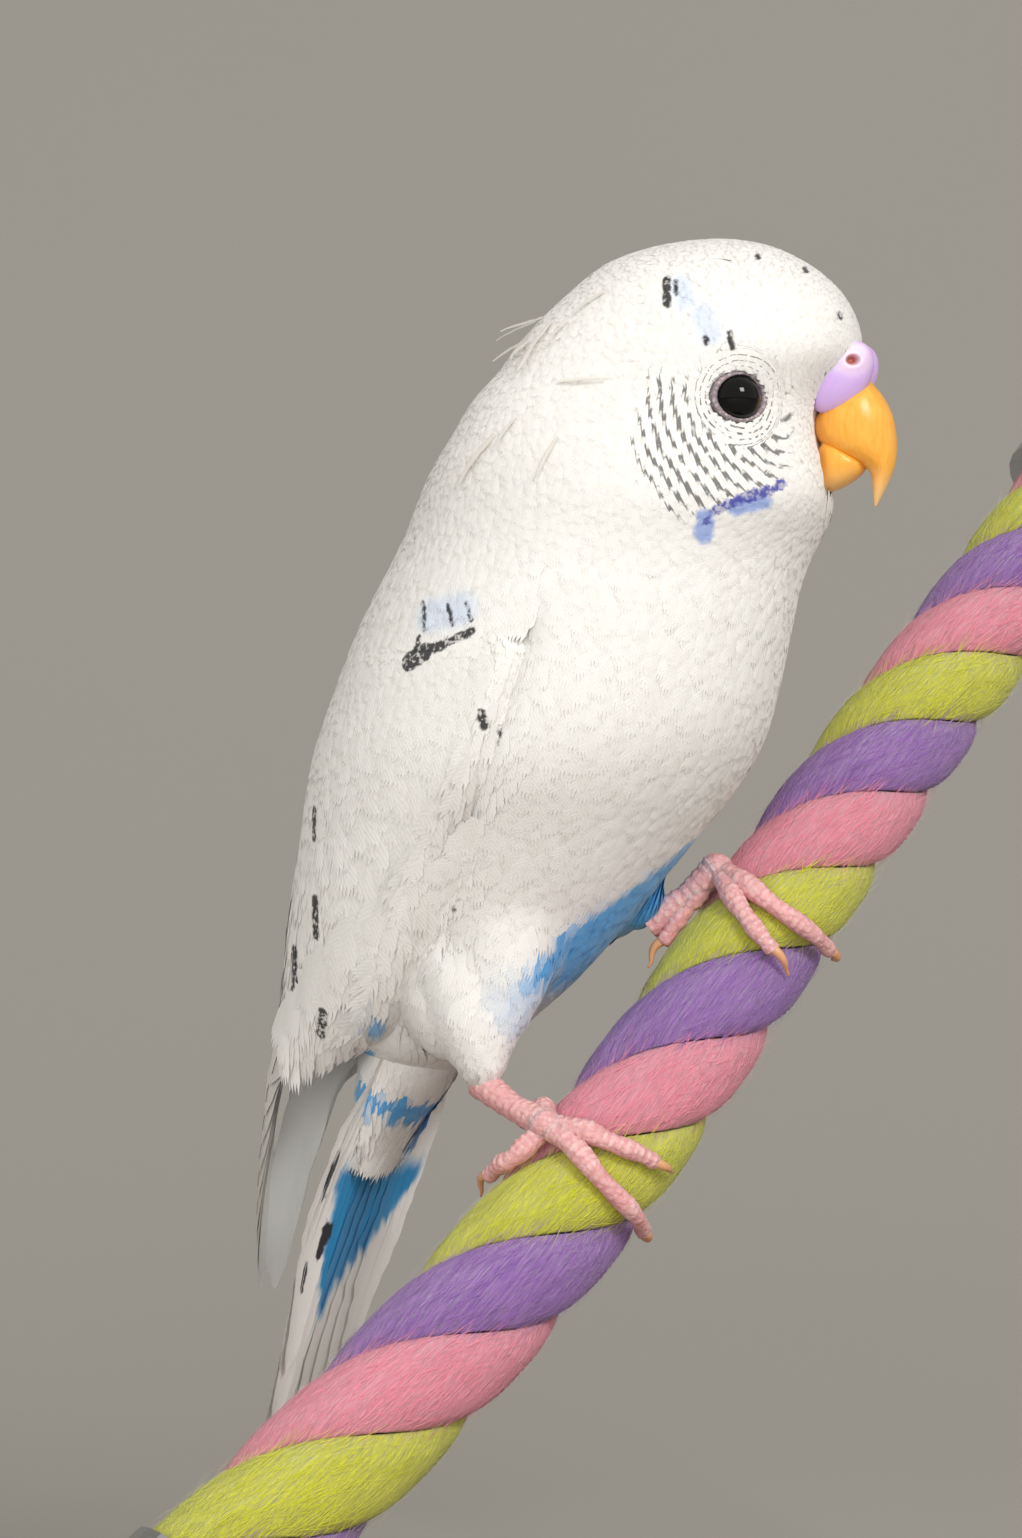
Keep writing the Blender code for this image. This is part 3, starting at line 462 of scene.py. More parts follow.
WING_DARK = (
    Mark((-5.3, 22.7, 11.6), (-3.0, 23.0, 12.7), 1.9),
    Mark((-3.4, 23.0, 12.6), (-0.9, 23.0, 13.3), 1.0),
    Mark((-1.7, 23.0, 12.9), (3.2, 22.8, 14.9), 0.75),
    Mark((-4.4, 22.7, 12.6), (-4.2, 22.2, 14.2), 0.6),
    Mark((-4.2, 21.7, 18.0), (-3.4, 22.5, 15.2), 0.45),
    Mark((-0.4, 22.4, 17.8), (0.6, 22.8, 15.6), 0.4),
    Mark((2.1, 22.5, 17.9), (3.0, 22.7, 16.0), 0.35),
    Mark((4.7, 22.7, 6.1), (4.9, 22.6, 4.7), 0.75),
    Mark((6.1, 22.3, 4.7), (5.6, 21.8, 2.6), 0.3),
    Mark((-22.0, 17.8, -4.6), (-22.0, 17.8, -7.6), 0.9),
    Mark((-22.2, 17.3, -14.6), (-22.6, 16.9, -18.6), 1.1),
    Mark((-28.0, 14.0, -20.6), (-28.4, 13.5, -24.4), 1.3),
    Mark((-34.6, 8.7, -26.6), (-35.2, 8.3, -29.2), 0.9),
    Mark((-23.1, 14.0, -27.4), (-24.4, 13.1, -29.8), 1.1),
    Mark((-3.2, 17.3, -14.1), (-4.3, 16.8, -15.7), 0.35),
)
WING_TINT = (
    Mark((-3.0, 22.3, 16.6), (1.6, 22.6, 17.2), 2.6, 1.6),
)
BAR_FOCUS = (15.5, 11.0, 40.6)
BAR_SPACING = 1.35
SCALLOP_WIDTH = 1.6


@dataclass(frozen=True)
class Pigment:
    """Colours of the plumage."""

    white: Colour = Colour("F5F3EF")
    shade: Colour = Colour("E8E4DE")
    ink: Colour = Colour("2B2A2E")
    violet: Colour = Colour("4C4FA6")
    tint: Colour = Colour("C4D6F0")
    pale_blue: Colour = Colour("8FA6DC")
    blue: Colour = Colour("8DBDEB")
    deep_blue: Colour = Colour("4EA6E4")
    tail_blue: Colour = Colour("5BAAD8")
    tail_deep: Colour = Colour("2A90CA")
    primary: Colour = Colour("EFEBE4")
    shaft: Colour = Colour("E6DFD5")


PIGMENT = Pigment()


def plumage_base(nodes: Nodes) -> Socket:
    """White of soft feathers, a little darker where they part, and warmer from one to the next."""
    cloud = nodes.grain(90.0, 3.0)
    share = nodes.math("MULTIPLY_ADD", nodes.attribute("rand"), 0.35, nodes.times(cloud, 0.35))
    return nodes.blend(share, PIGMENT.white, PIGMENT.shade)


def blue_flush(nodes: Nodes, colour: object, light: Colour, deep: Colour) -> Socket:
    """Blue where the mesh says so, deeper where it is strongest."""
    blue = nodes.attribute("blue")
    share = nodes.ramp(nodes.shaken(blue, nodes.grain(700.0), 0.35), 0.05, 0.95)
    strong = nodes.blend(nodes.ramp(blue, 0.3, 0.85), light, deep)
    return nodes.blend(share, colour, strong)


def barbs(nodes: Nodes, depth: float, scale: float) -> None:
    """Fine relief of barbs that slope from the shaft to each edge of a vane.

    Args:
        nodes: The material.
        depth: Depth of the relief in metres.
        scale: Number of barbs along a vane's own length.
    """
    flat = nodes.add("UVMap", {"uv_map": "Vane"})
    parts = nodes.add("SeparateXYZ", None, i0=flat)
    off = nodes.math("ABSOLUTE", nodes.minus(parts.outputs[0], 0.5))
    slope = nodes.minus(parts.outputs[1], nodes.times(off, 0.55))
    wave = nodes.math("SINE", nodes.times(slope, scale * 2.0 * math.pi))
    grain = nodes.grain(2600.0, 2.0)
    height = nodes.plus(nodes.times(wave, 0.35), nodes.times(grain, 0.9))
    nodes.bump(height, 0.6, depth)


class Finishes:
    """Every material of the model, made once."""

    def __init__(self) -> None:
        """Make the materials in order."""
        self.contour = self.contour_feather()
        self.wing = self.wing_feather("wing covert keratin", PIGMENT.white, PIGMENT.shade, 34.0)
        self.primary = self.wing_feather("flight feather keratin", PIGMENT.shade, PIGMENT.primary, 90.0)
        self.tail = self.tail_feather()
        self.shaft = self.plain("feather shaft horn", PIGMENT.shaft, Colour("F0EAE2"), 0.5)
        self.eye = self.wet_eye()
        self.lid = self.bare_lid()
        self.cere = self.waxy_cere()
        self.bill = self.bill_horn()
        self.foot = self.scaly_foot()
        self.claw = self.plain("claw horn", Colour("E3B083"), Colour("C98A62"), 0.35)
        self.strands = {
            "green": self.soft_fibre("lime cotton fibre", Colour("E4E336"), Colour("C2C428")),
            "pink": self.soft_fibre("pink cotton fibre", Colour("FBA2B2"), Colour("EC8299")),
            "purple": self.soft_fibre("purple cotton fibre", Colour("B07FC8"), Colour("8450A8")),
        }
        self.wood = self.oiled_wood()
        self.steel = self.brushed_steel()

    def contour_feather(self) -> Material:
        """Body feather, soft keratin barbs that scatter light, with the markings of head and belly."""
        nodes = Nodes("contour feather keratin", Roughness=0.78, Sheen_Weight=0.25, Sheen_Roughness=0.5,
                      Specular_IOR_Level=0.25)
        _, side = nodes.framed(POSE.head, POSE.head_yaw)
        _, flank = nodes.framed(POSE.bird, POSE.body_yaw)
        colour = blue_flush(nodes, plumage_base(nodes), PIGMENT.blue, PIGMENT.deep_blue)
        tint = nodes.strokes(side, HEAD_TINT)
        wing_tint = nodes.strokes(flank, WING_TINT)
        colour = nodes.blend(nodes.times(nodes.math("MAXIMUM", tint, wing_tint), 0.55), colour, PIGMENT.tint)
        colour = nodes.blend(self.cheek_bars(nodes, side), colour, PIGMENT.ink)
        pale = nodes.strokes(side, PALE_BLUE, 0.8)
        colour = nodes.blend(nodes.times(pale, 0.9), colour, PIGMENT.pale_blue)
        streaks = nodes.ramp(nodes.grain(1500.0, 1.0), 0.35, 0.6, 0.45, 0.95)
        violet = nodes.times(nodes.strokes(side, VIOLET, 1.2), streaks)
        colour = nodes.blend(violet, colour, PIGMENT.violet)
        dark = nodes.either([nodes.strokes(side, HEAD_DARK, 0.5), nodes.strokes(flank, WING_DARK, 0.7)])
        grain = nodes.ramp(nodes.grain(1800.0, 1.0), 0.32, 0.52, 0.3, 0.96)
        nodes.colour(nodes.blend(nodes.times(dark, grain), colour, PIGMENT.ink))
        barbs(nodes, 0.00003, 9.0)
        return nodes.material

    def cheek_bars(self, nodes: Nodes, side: object) -> Socket:
        """Fine dark scallops that ring the face, spaced as the small cheek feathers are.

        Args:
            nodes: The material.
            side: Coordinates in the head's frame, folded onto one side.

        Returns:
            Mask of the bars.
        """
        offset = nodes.vector("SUBTRACT", side, BAR_FOCUS).outputs[0]
        parts = nodes.add("SeparateXYZ", None, i0=offset)
        far = nodes.vector("LENGTH", offset).outputs["Value"]
        bearing = nodes.math("ARCTAN2", parts.outputs[2], parts.outputs[0])
        arc = nodes.times(nodes.times(bearing, far), math.pi / SCALLOP_WIDTH)
        scallop = nodes.times(nodes.math("ABSOLUTE", nodes.math("SINE", arc)), 0.3)
        eye = nodes.vector("DISTANCE", side, EYE_SPOT).outputs["Value"]
        near = nodes.ramp(eye, 5.6, 4.8)
        away = nodes.minus(1.0, near)
        ringed = nodes.times(nodes.times(eye, 2.2), near)
        far = nodes.plus(nodes.times(nodes.plus(far, scallop), away), ringed)
        rough = nodes.times(nodes.minus(nodes.grain(260.0, 1.0), 0.5), 0.9)
        shift = nodes.plus(rough, nodes.times(nodes.attribute("rand"), 0.16))
        phase = nodes.math("FRACT", nodes.math("DIVIDE", nodes.plus(far, shift), BAR_SPACING))
        line = nodes.math("ABSOLUTE", nodes.minus(phase, 0.5))
        cheek = nodes.attribute("cheek")
        crisp = nodes.ramp(nodes.minus(nodes.times(cheek, 0.19), line), -0.05, 0.1)
        loose = nodes.ramp(nodes.grain(900.0, 1.0), 0.30, 0.46)
        dots = nodes.ramp(nodes.grain(1900.0, 1.0), 0.44, 0.56)
        broken = nodes.plus(nodes.times(loose, away), nodes.times(dots, near))
        return nodes.times(nodes.times(crisp, broken), nodes.ramp(cheek, 0.08, 0.5, 0.0, 0.78))

    def wing_feather(self, name: str, light: Colour, shade: Colour, count: float) -> Material:
        """Stiff vane with fine sloping barbs, and black marks toward some edges."""
        nodes = Nodes(name, Roughness=0.62, Sheen_Weight=0.15, Specular_IOR_Level=0.35)
        _, flank = nodes.framed(POSE.bird, POSE.body_yaw)
        cloud = nodes.grain(160.0, 3.0)
        share = nodes.math("MULTIPLY_ADD", nodes.attribute("rand"), 0.4, nodes.times(cloud, 0.4))
        colour = nodes.blend(share, light, shade)
        tint = nodes.strokes(flank, WING_TINT)
        colour = nodes.blend(nodes.times(tint, 0.7), colour, PIGMENT.tint)
        nodes.colour(nodes.blend(nodes.strokes(flank, WING_DARK, 0.7), colour, PIGMENT.ink))
        barbs(nodes, 0.00004, count)
        return nodes.material

    def tail_feather(self) -> Material:
        """Tail vane, white or sky blue by feather, with black along some shafts."""
        nodes = Nodes("tail feather keratin", Roughness=0.6, Sheen_Weight=0.15, Specular_IOR_Level=0.35)
        colour = blue_flush(nodes, plumage_base(nodes), PIGMENT.tail_blue, PIGMENT.tail_deep)
        ragged = nodes.shaken(nodes.attribute("black"), nodes.grain(900.0), 0.5)
        nodes.colour(nodes.blend(nodes.ramp(ragged, 0.35, 0.65), colour, PIGMENT.ink))
        barbs(nodes, 0.00004, 80.0)
        return nodes.material

    def plain(self, name: str, a: Colour, b: Colour, roughness: float) -> Material:
        """Horn with cloudy colour and a faint grain."""
        nodes = Nodes(name, Roughness=roughness, Subsurface_Weight=0.15, Subsurface_Scale=0.001)
        nodes.colour(nodes.blend(nodes.grain(350.0, 3.0), a, b))
        nodes.bump(nodes.grain(1500.0, 2.0), 0.3, 0.00004)
        return nodes.material

    def wet_eye(self) -> Material:
        """Dark brown eye under a wet clear cornea."""
        nodes = Nodes("wet dark eye", Roughness=0.04, Specular_IOR_Level=0.28)
        nodes.colour(nodes.blend(nodes.grain(500.0, 2.0), Colour("030303"), Colour("070505")))
        return nodes.material

    def bare_lid(self) -> Material:
        """Bare wrinkled skin round the eye, pinkish grey."""
        nodes = Nodes("bare lid skin", Roughness=0.5, Subsurface_Weight=0.3, Subsurface_Scale=0.0008)
        cells = nodes.add("TexVoronoi", None, Vector=nodes.place(), Scale=2400.0)
        share = nodes.ramp(cells.outputs[0], 0.0, 0.6)
        nodes.colour(nodes.blend(share, Colour("CDB9B8"), Colour("8E8288")))
        nodes.bump(cells.outputs[0], 0.5, 0.0001)
        return nodes.material

    def waxy_cere(self) -> Material:
        """Waxy lilac cere, pale round the nostrils, red-brown within them."""
        nodes = Nodes("waxy cere skin", Roughness=0.42, Subsurface_Weight=0.35, Subsurface_Scale=0.0012)
        _, side = nodes.framed(POSE.head, POSE.head_yaw)
        far = nodes.vector("DISTANCE", side, CERE_PALE).outputs["Value"]
        wander = nodes.shaken(far, nodes.grain(420.0, 3.0), 1.4)
        colour = nodes.blend(nodes.ramp(wander, 1.0, 3.0), Colour("F0DCEB"), Colour("D3B3EA"))
        colour = nodes.blend(nodes.attribute("pit"), colour, Colour("A8452F"))
        nodes.colour(colour)
        nodes.bump(nodes.grain(1400.0, 3.0), 0.35, 0.00007)
        return nodes.material

    def bill_horn(self) -> Material:
        """Layered horn of the bill, orange, paler and clearer toward the tip and edges."""
        nodes = Nodes("layered bill horn", Roughness=0.34, Subsurface_Weight=0.25, Subsurface_Scale=0.0015,
                      Coat_Weight=0.15, Coat_Roughness=0.25)
        plain, _ = nodes.framed(POSE.head, POSE.head_yaw)
        parts = nodes.add("SeparateXYZ", None, i0=plain)
        streak = nodes.vector("MULTIPLY", plain, (2.2, 2.2, 0.35))
        grain = nodes.noise(streak, 1.0, 4.0)
        tip = nodes.ramp(nodes.plus(parts.outputs[2], nodes.times(grain, 2.0)), 34.5, 30.5)
        colour = nodes.blend(nodes.ramp(grain, 0.35, 0.7), Colour("F9AC3C"), Colour("FDB94F"))
        colour = nodes.blend(nodes.times(tip, 0.65), colour, Colour("F7D29A"))
        back = nodes.ramp(parts.outputs[0], 18.5, 15.8)
        nodes.colour(nodes.blend(nodes.times(back, 0.35), colour, Colour("D9791E")))
        nodes.bump(nodes.plus(grain, nodes.noise(plain, 2.5, 3.0)), 0.3, 0.00005)
        return nodes.material

    def scaly_foot(self) -> Material:
        """Pink skin of the foot under small rounded scales."""
        nodes = Nodes("scaly pink skin", Roughness=0.5, Subsurface_Weight=0.3, Subsurface_Scale=0.001)
        cells = nodes.add("TexVoronoi", None, Vector=nodes.place(), Scale=1500.0)
        crack = nodes.ramp(cells.outputs[0], 0.35, 0.75)
        cloud = nodes.grain(300.0, 2.0)
        colour = nodes.blend(cloud, Colour("EBB9B6"), Colour("D98F92"))
        colour = nodes.blend(nodes.times(nodes.attribute("scute"), 0.55), colour, Colour("F6DCD6"))
        nodes.colour(nodes.blend(nodes.times(crack, 0.35), colour, Colour("C07C80")))
        nodes.bump(nodes.times(crack, -1.0), 0.5, 0.00015)
        return nodes.material

    def soft_fibre(self, name: str, light: Colour, dark: Colour) -> Material:
        """Loosely spun dyed cotton: fine fibres that lie near the rope's own direction."""
        nodes = Nodes(name, Roughness=0.92, Sheen_Weight=0.6, Sheen_Roughness=0.5, Specular_IOR_Level=0.2)
        flat = nodes.add("UVMap", {"uv_map": "Lay"})
        long = nodes.vector("MULTIPLY", flat, (0.22, 3.4, 1.0))
        fine = nodes.vector("MULTIPLY", flat, (0.6, 9.0, 1.0))
        grain = nodes.noise(long, 1.0, 3.0)
        hair = nodes.noise(fine, 1.0, 2.0)
        share = nodes.plus(nodes.times(grain, 0.7), nodes.times(hair, 0.5))
        nodes.colour(nodes.blend(nodes.ramp(share, 0.42, 0.78), dark, light))
        nodes.bump(nodes.plus(grain, nodes.times(hair, 0.8)), 1.0, 0.0007)
        return nodes.material

    def oiled_wood(self) -> Material:
        """Oiled walnut with growth rings and pores."""
        nodes = Nodes("oiled walnut", Roughness=0.45, Coat_Weight=0.1, Coat_Roughness=0.3)
        stretched = nodes.vector("MULTIPLY", nodes.place(), (0.12, 1.0, 1.0))
        rings = nodes.noise(stretched, 140.0, 4.0)
        wave = nodes.math("SINE", nodes.times(rings, 55.0))
        pores = nodes.noise(stretched, 1800.0, 2.0)
        colour = nodes.blend(nodes.ramp(wave, -1.0, 1.0), Colour("7A563A"), Colour("553621"))
        nodes.colour(nodes.blend(nodes.ramp(pores, 0.6, 0.75), colour, Colour("3A2416")))
        nodes.bump(pores, 0.3, 0.00008)
        return nodes.material

    def brushed_steel(self) -> Material:
        """Satin steel with fine turned lines."""
        nodes = Nodes("brushed steel", Roughness=0.32, Metallic=1.0)
        stretched = nodes.vector("MULTIPLY", nodes.place(), (1.0, 1.0, 30.0))
        lines = nodes.noise(stretched, 160.0, 3.0)
        nodes.colour(nodes.blend(lines, Colour("B8BABC"), Colour("D2D4D6")))
        nodes.bump(lines, 0.15, 0.00003)
        return nodes.material


def publish(thing: Object, slot: str, *replaced: str) -> Object:
    """Make an object a piece of the model.

    Args:
        thing: The object.
        slot: The record's material slot; not used.
        *replaced: CAD nodes that it stands for.

    Returns:
        The same object.
    """
    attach(thing, ROOT_BODY)
    if replaced:
        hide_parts(*replaced)
    LOG.info("%s: %d vertices", thing.name, len(thing.data.vertices))
    return thing


def placed(name: str, data: bpy.types.ID) -> Object:
    """New object in the scene."""
    thing = bpy.data.objects.new(name, data)
    bpy.context.scene.collection.objects.link(thing)
    return thing


def from_bmesh(name: str, bm: BMesh, material: Material) -> Object:
    """Smooth object in metres from a bmesh in millimetres.

    Args:
        name: Object name.
        bm: The bmesh, which is freed.
        material: Its finish.

    Returns:
        The object.
    """
    bmesh.ops.scale(bm, vec=(MM, MM, MM), verts=bm.verts)
    mesh = bpy.data.meshes.new(name)
    bm.to_mesh(mesh)
    bm.free()
    mesh.shade_smooth()
    mesh.materials.append(material)
    return placed(name, mesh)


def evaluated(thing: Object) -> None:
    """Apply an object's modifiers to its mesh."""
    graph = bpy.context.evaluated_depsgraph_get()
    graph.update()
    mesh = bpy.data.meshes.new_from_object(thing.evaluated_get(graph))
    thing.modifiers.clear()
    thing.data = mesh


def number_attribute(thing: Object, name: str, values: np.ndarray) -> None:
    """Store one number at each vertex."""
    layer = thing.data.attributes.new(name, "FLOAT", "POINT")
    layer.data.foreach_set("value", np.ascontiguousarray(values, dtype=np.float32))


def blank_marks(thing: Object, **known: np.ndarray) -> None:
    """Store the numbers that the plumage materials read, 0 where none are given."""
    for key in MARKS:
        number_attribute(thing, key, known.get(key, np.zeros(len(thing.data.vertices))))


def joined(whole: Object, other: Object) -> None:
    """Join a closed object into another and remove it."""
    step = whole.modifiers.new("join", "BOOLEAN")
    step.operation = "UNION"
    step.object = other
    evaluated(whole)
    bpy.data.objects.remove(other)


def softened(thing: Object, voxel: float, turns: int) -> None:
    """Give an object an even mesh of voxel millimetres, smoothed a number of times."""
    even = thing.modifiers.new("even", "REMESH")
    even.mode = "VOXEL"
    even.voxel_size = voxel * MM
    soft = thing.modifiers.new("soft", "SMOOTH")
    soft.iterations = turns
    evaluated(thing)
    thing.data.shade_smooth()


def absorb(whole: BMesh, part: BMesh) -> None:
    """Add a bmesh to another and free it."""
    mesh = bpy.data.meshes.new("part")
    part.to_mesh(mesh)
    part.free()
    whole.from_mesh(mesh)
    bpy.data.meshes.remove(mesh)


def ball(segments: int, rings: int, shape: Callable[[Vector], Vector]) -> BMesh:
    """Sphere of radius 1 whose points are moved to where shape puts them."""
    bm = bmesh.new()
    bmesh.ops.create_uvsphere(bm, u_segments=segments, v_segments=rings, radius=1.0)
    for vertex in bm.verts:
        vertex.co = shape(vertex.co)
    return bm


def chain(points: Sequence[Vector]) -> Tuple[BMesh, List[bmesh.types.BMVert], List[bmesh.types.BMEdge]]:
    """Edges through points, with the vertices and the edges."""
    bm = bmesh.new()
    verts = [bm.verts.new(p) for p in points]
    return bm, verts, [bm.edges.new(pair) for pair in zip(verts, verts[1:])]


def loft(rings: Sequence[Sequence[Vector]]) -> BMesh:
    """Closed surface through rings of equal count, made by bridging them.

    Args:
        rings: Rings of points.

    Returns:
        The bmesh, with fans at its two ends.
    """
    bm = bmesh.new()
    rows = [[bm.verts.new(p) for p in ring] for ring in rings]
    count = len(rows[0])
    for lower, upper in zip(rows, rows[1:]):
        for i in range(count):
            j = (i + 1) % count
            bm.faces.new((lower[i], lower[j], upper[j], upper[i]))
    for row in (rows[0], rows[-1]):
        bmesh.ops.contextual_create(bm, geom=row)
    ends = [f for f in bm.faces if len(f.verts) > 4]
    bmesh.ops.poke(bm, faces=ends)
    bmesh.ops.recalc_face_normals(bm, faces=bm.faces)
    return bm


def tube(points: Sequence[Vector], radii: Sequence[float], sides: int) -> BMesh:
    """Closed surface round a path with a radius at each point."""
    rings = []
    across: Optional[Vector] = None
    for i, point in enumerate(points):
        tangent = tangent_at(points, i)
        across = squared(across if across is not None else tangent.orthogonal(), tangent)
        other = tangent.cross(across)
        rings.append([point + (across * math.cos(a) + other * math.sin(a)) * radii[i] for a in around(sides)])
    return loft(rings)


@dataclass
class Feathers:
    """A growing set of thin feathers that becomes one joined mesh."""

    name: str
    points: List[np.ndarray] = field(default_factory=list)
    faces: List[np.ndarray] = field(default_factory=list)
    vane: List[np.ndarray] = field(default_factory=list)
    patch: List[np.ndarray] = field(default_factory=list)
    normals: List[np.ndarray] = field(default_factory=list)
    numbers: Dict[str, List[np.ndarray]] = field(default_factory=dict)
    count: int = 0

    def extend(self, points: np.ndarray, faces: np.ndarray, vane: np.ndarray, patch: np.ndarray,
               normals: np.ndarray, **numbers: np.ndarray) -> None:
        """Add feathers that are already meshes.

        Args:
            points: Vertices in millimetres.
            faces: Triangles that count from 0.
            vane: Place of each vertex across and along its feather.
            patch: Place of each vertex on the unwrapped skin.
            normals: Shading normal at each vertex, which follows the body under the feather.
            **numbers: Numbers stored at each vertex.
        """
        self.points.append(points)
        self.normals.append(normals)
        self.faces.append(faces + self.count)
        self.vane.append(vane)
        self.patch.append(patch)
        for key in MARKS:
            self.numbers.setdefault(key, []).append(numbers.get(key, np.zeros(len(points))))
        self.count += len(points)

    def build(self, material: Material) -> Object:
        """Join everything into one object.

        Args:
            material: Finish of every feather.

        Returns:
            The object.
        """
        points = np.concatenate(self.points) * MM
        faces = np.concatenate(self.faces).astype(np.int32)
        mesh = bpy.data.meshes.new(self.name)
        mesh.vertices.add(len(points))
        mesh.vertices.foreach_set("co", points.astype(np.float32).ravel())
        mesh.loops.add(faces.size)
        mesh.loops.foreach_set("vertex_index", faces.ravel())
        mesh.polygons.add(len(faces))
        mesh.polygons.foreach_set("loop_start", np.arange(0, faces.size, 3, dtype=np.int32))
        mesh.polygons.foreach_set("use_smooth", np.ones(len(faces), dtype=bool))
        for name, rows in (("OFBake", self.patch), ("Vane", self.vane)):
            layer = mesh.uv_layers.new(name=name)
            values = np.concatenate(rows)[faces.ravel()].astype(np.float32)
            layer.uv.foreach_set("vector", values.ravel())
        mesh.update(calc_edges=True)
        mesh.validate()
        normals = np.concatenate(self.normals)
        normals /= np.maximum(np.linalg.norm(normals, axis=1, keepdims=True), 1e-9)
        mesh.normals_split_custom_set_from_vertices(normals)
        mesh.materials.append(material)
        thing = placed(self.name, mesh)
        for key, rows in self.numbers.items():
            number_attribute(thing, key, np.concatenate(rows))
        return thing


class Coat:
    """Contour feathers: many small cupped feathers with fringed tips, laid along a surface."""

    COLUMNS = (-1.0, -0.6, -0.2, 0.2, 0.6, 1.0)
    ROWS = ((0.0, 0.45), (0.4, 0.92), (0.78, 1.0))
    TIP = 1.0
    CUP = 0.10
    ROUND = 0.22
    FRAY = 0.10
    FRAY_START = 0.86
    FRAY_RANGE = (-0.4, 2.0)

    def __init__(self) -> None:
        """Make the template that each feather follows."""
        across = []
        along = []
        for y, width in self.ROWS:
            for x in self.COLUMNS:
                across.append(x * width)
                along.append(y - (0.06 * x * x if y > 0 else 0.0))
        n = len(self.COLUMNS)
        faces = grid_faces(len(self.ROWS), n)
        base = (len(self.ROWS) - 1) * n
        self.rim = base + n
        for c in range(n - 1):
            middle = 0.5 * (self.COLUMNS[c] + self.COLUMNS[c + 1])
            across.append(middle * 0.86)
            along.append(self.TIP - 0.2 * middle * middle)
            faces.append((base + c, base + c + 1, len(across) - 1))
        self.across = np.array(across)
        self.along = np.array(along)
        self.faces = np.array(faces, dtype=np.int64)

    def lay(self, feathers: Feathers, shapes: np.ndarray, widths: np.ndarray, patches: np.ndarray,
            rng: np.random.Generator, **numbers: np.ndarray) -> None:
        """Add many feathers.

        Args:
            feathers: Where they go.
            shapes: Six vectors for each feather: its root, the middle and the tip of its shaft, the
                direction across it, and the body's normals at its middle and at its tip.
            widths: Half width of each feather.
            patches: Place of each root on the unwrapped skin.
            rng: Source of small differences.
            **numbers: One number for each feather.
        """
        count = len(shapes)
        size = len(self.across)
        y = self.along[None, :, None]
        x = self.across[None, :, None]
        draws = np.clip(rng.standard_normal((count, size, 1)), *self.FRAY_RANGE)
        loose = (y > self.FRAY_START) * (np.arange(size) >= self.rim)[None, :, None]
        yy = y * (1.0 + self.FRAY * draws * loose)
        roots, middles, tips, sides, normals, ends = (shapes[:, k, None] for k in range(6))
        curve = (roots * (2 * (yy - 0.5) * (yy - 1)) + middles * (-4 * yy * (yy - 1))
                 + tips * (2 * yy * (yy - 0.5)))
        half = widths[:, None, None]
        points = curve + sides * x * half - normals * (half * self.CUP * x * x)
        shade = normals * (1.0 - y) + ends * y + sides * x * self.ROUND
        faces = self.faces[None, :, :] + (np.arange(count) * size)[:, None, None]
        vane = np.stack([np.broadcast_to(0.5 + 0.5 * self.across, (count, size)),
                         np.broadcast_to(self.along, (count, size))], axis=-1)
        patch = patches[:, None, :] + (vane - 0.5) * PATCH_SIZE
        spread = {key: np.repeat(value, size) for key, value in numbers.items()}
        feathers.extend(points.reshape(-1, 3), faces.reshape(-1, 3), vane.reshape(-1, 2),
                        patch.reshape(-1, 2), shade.reshape(-1, 3), **spread)


COAT = Coat()


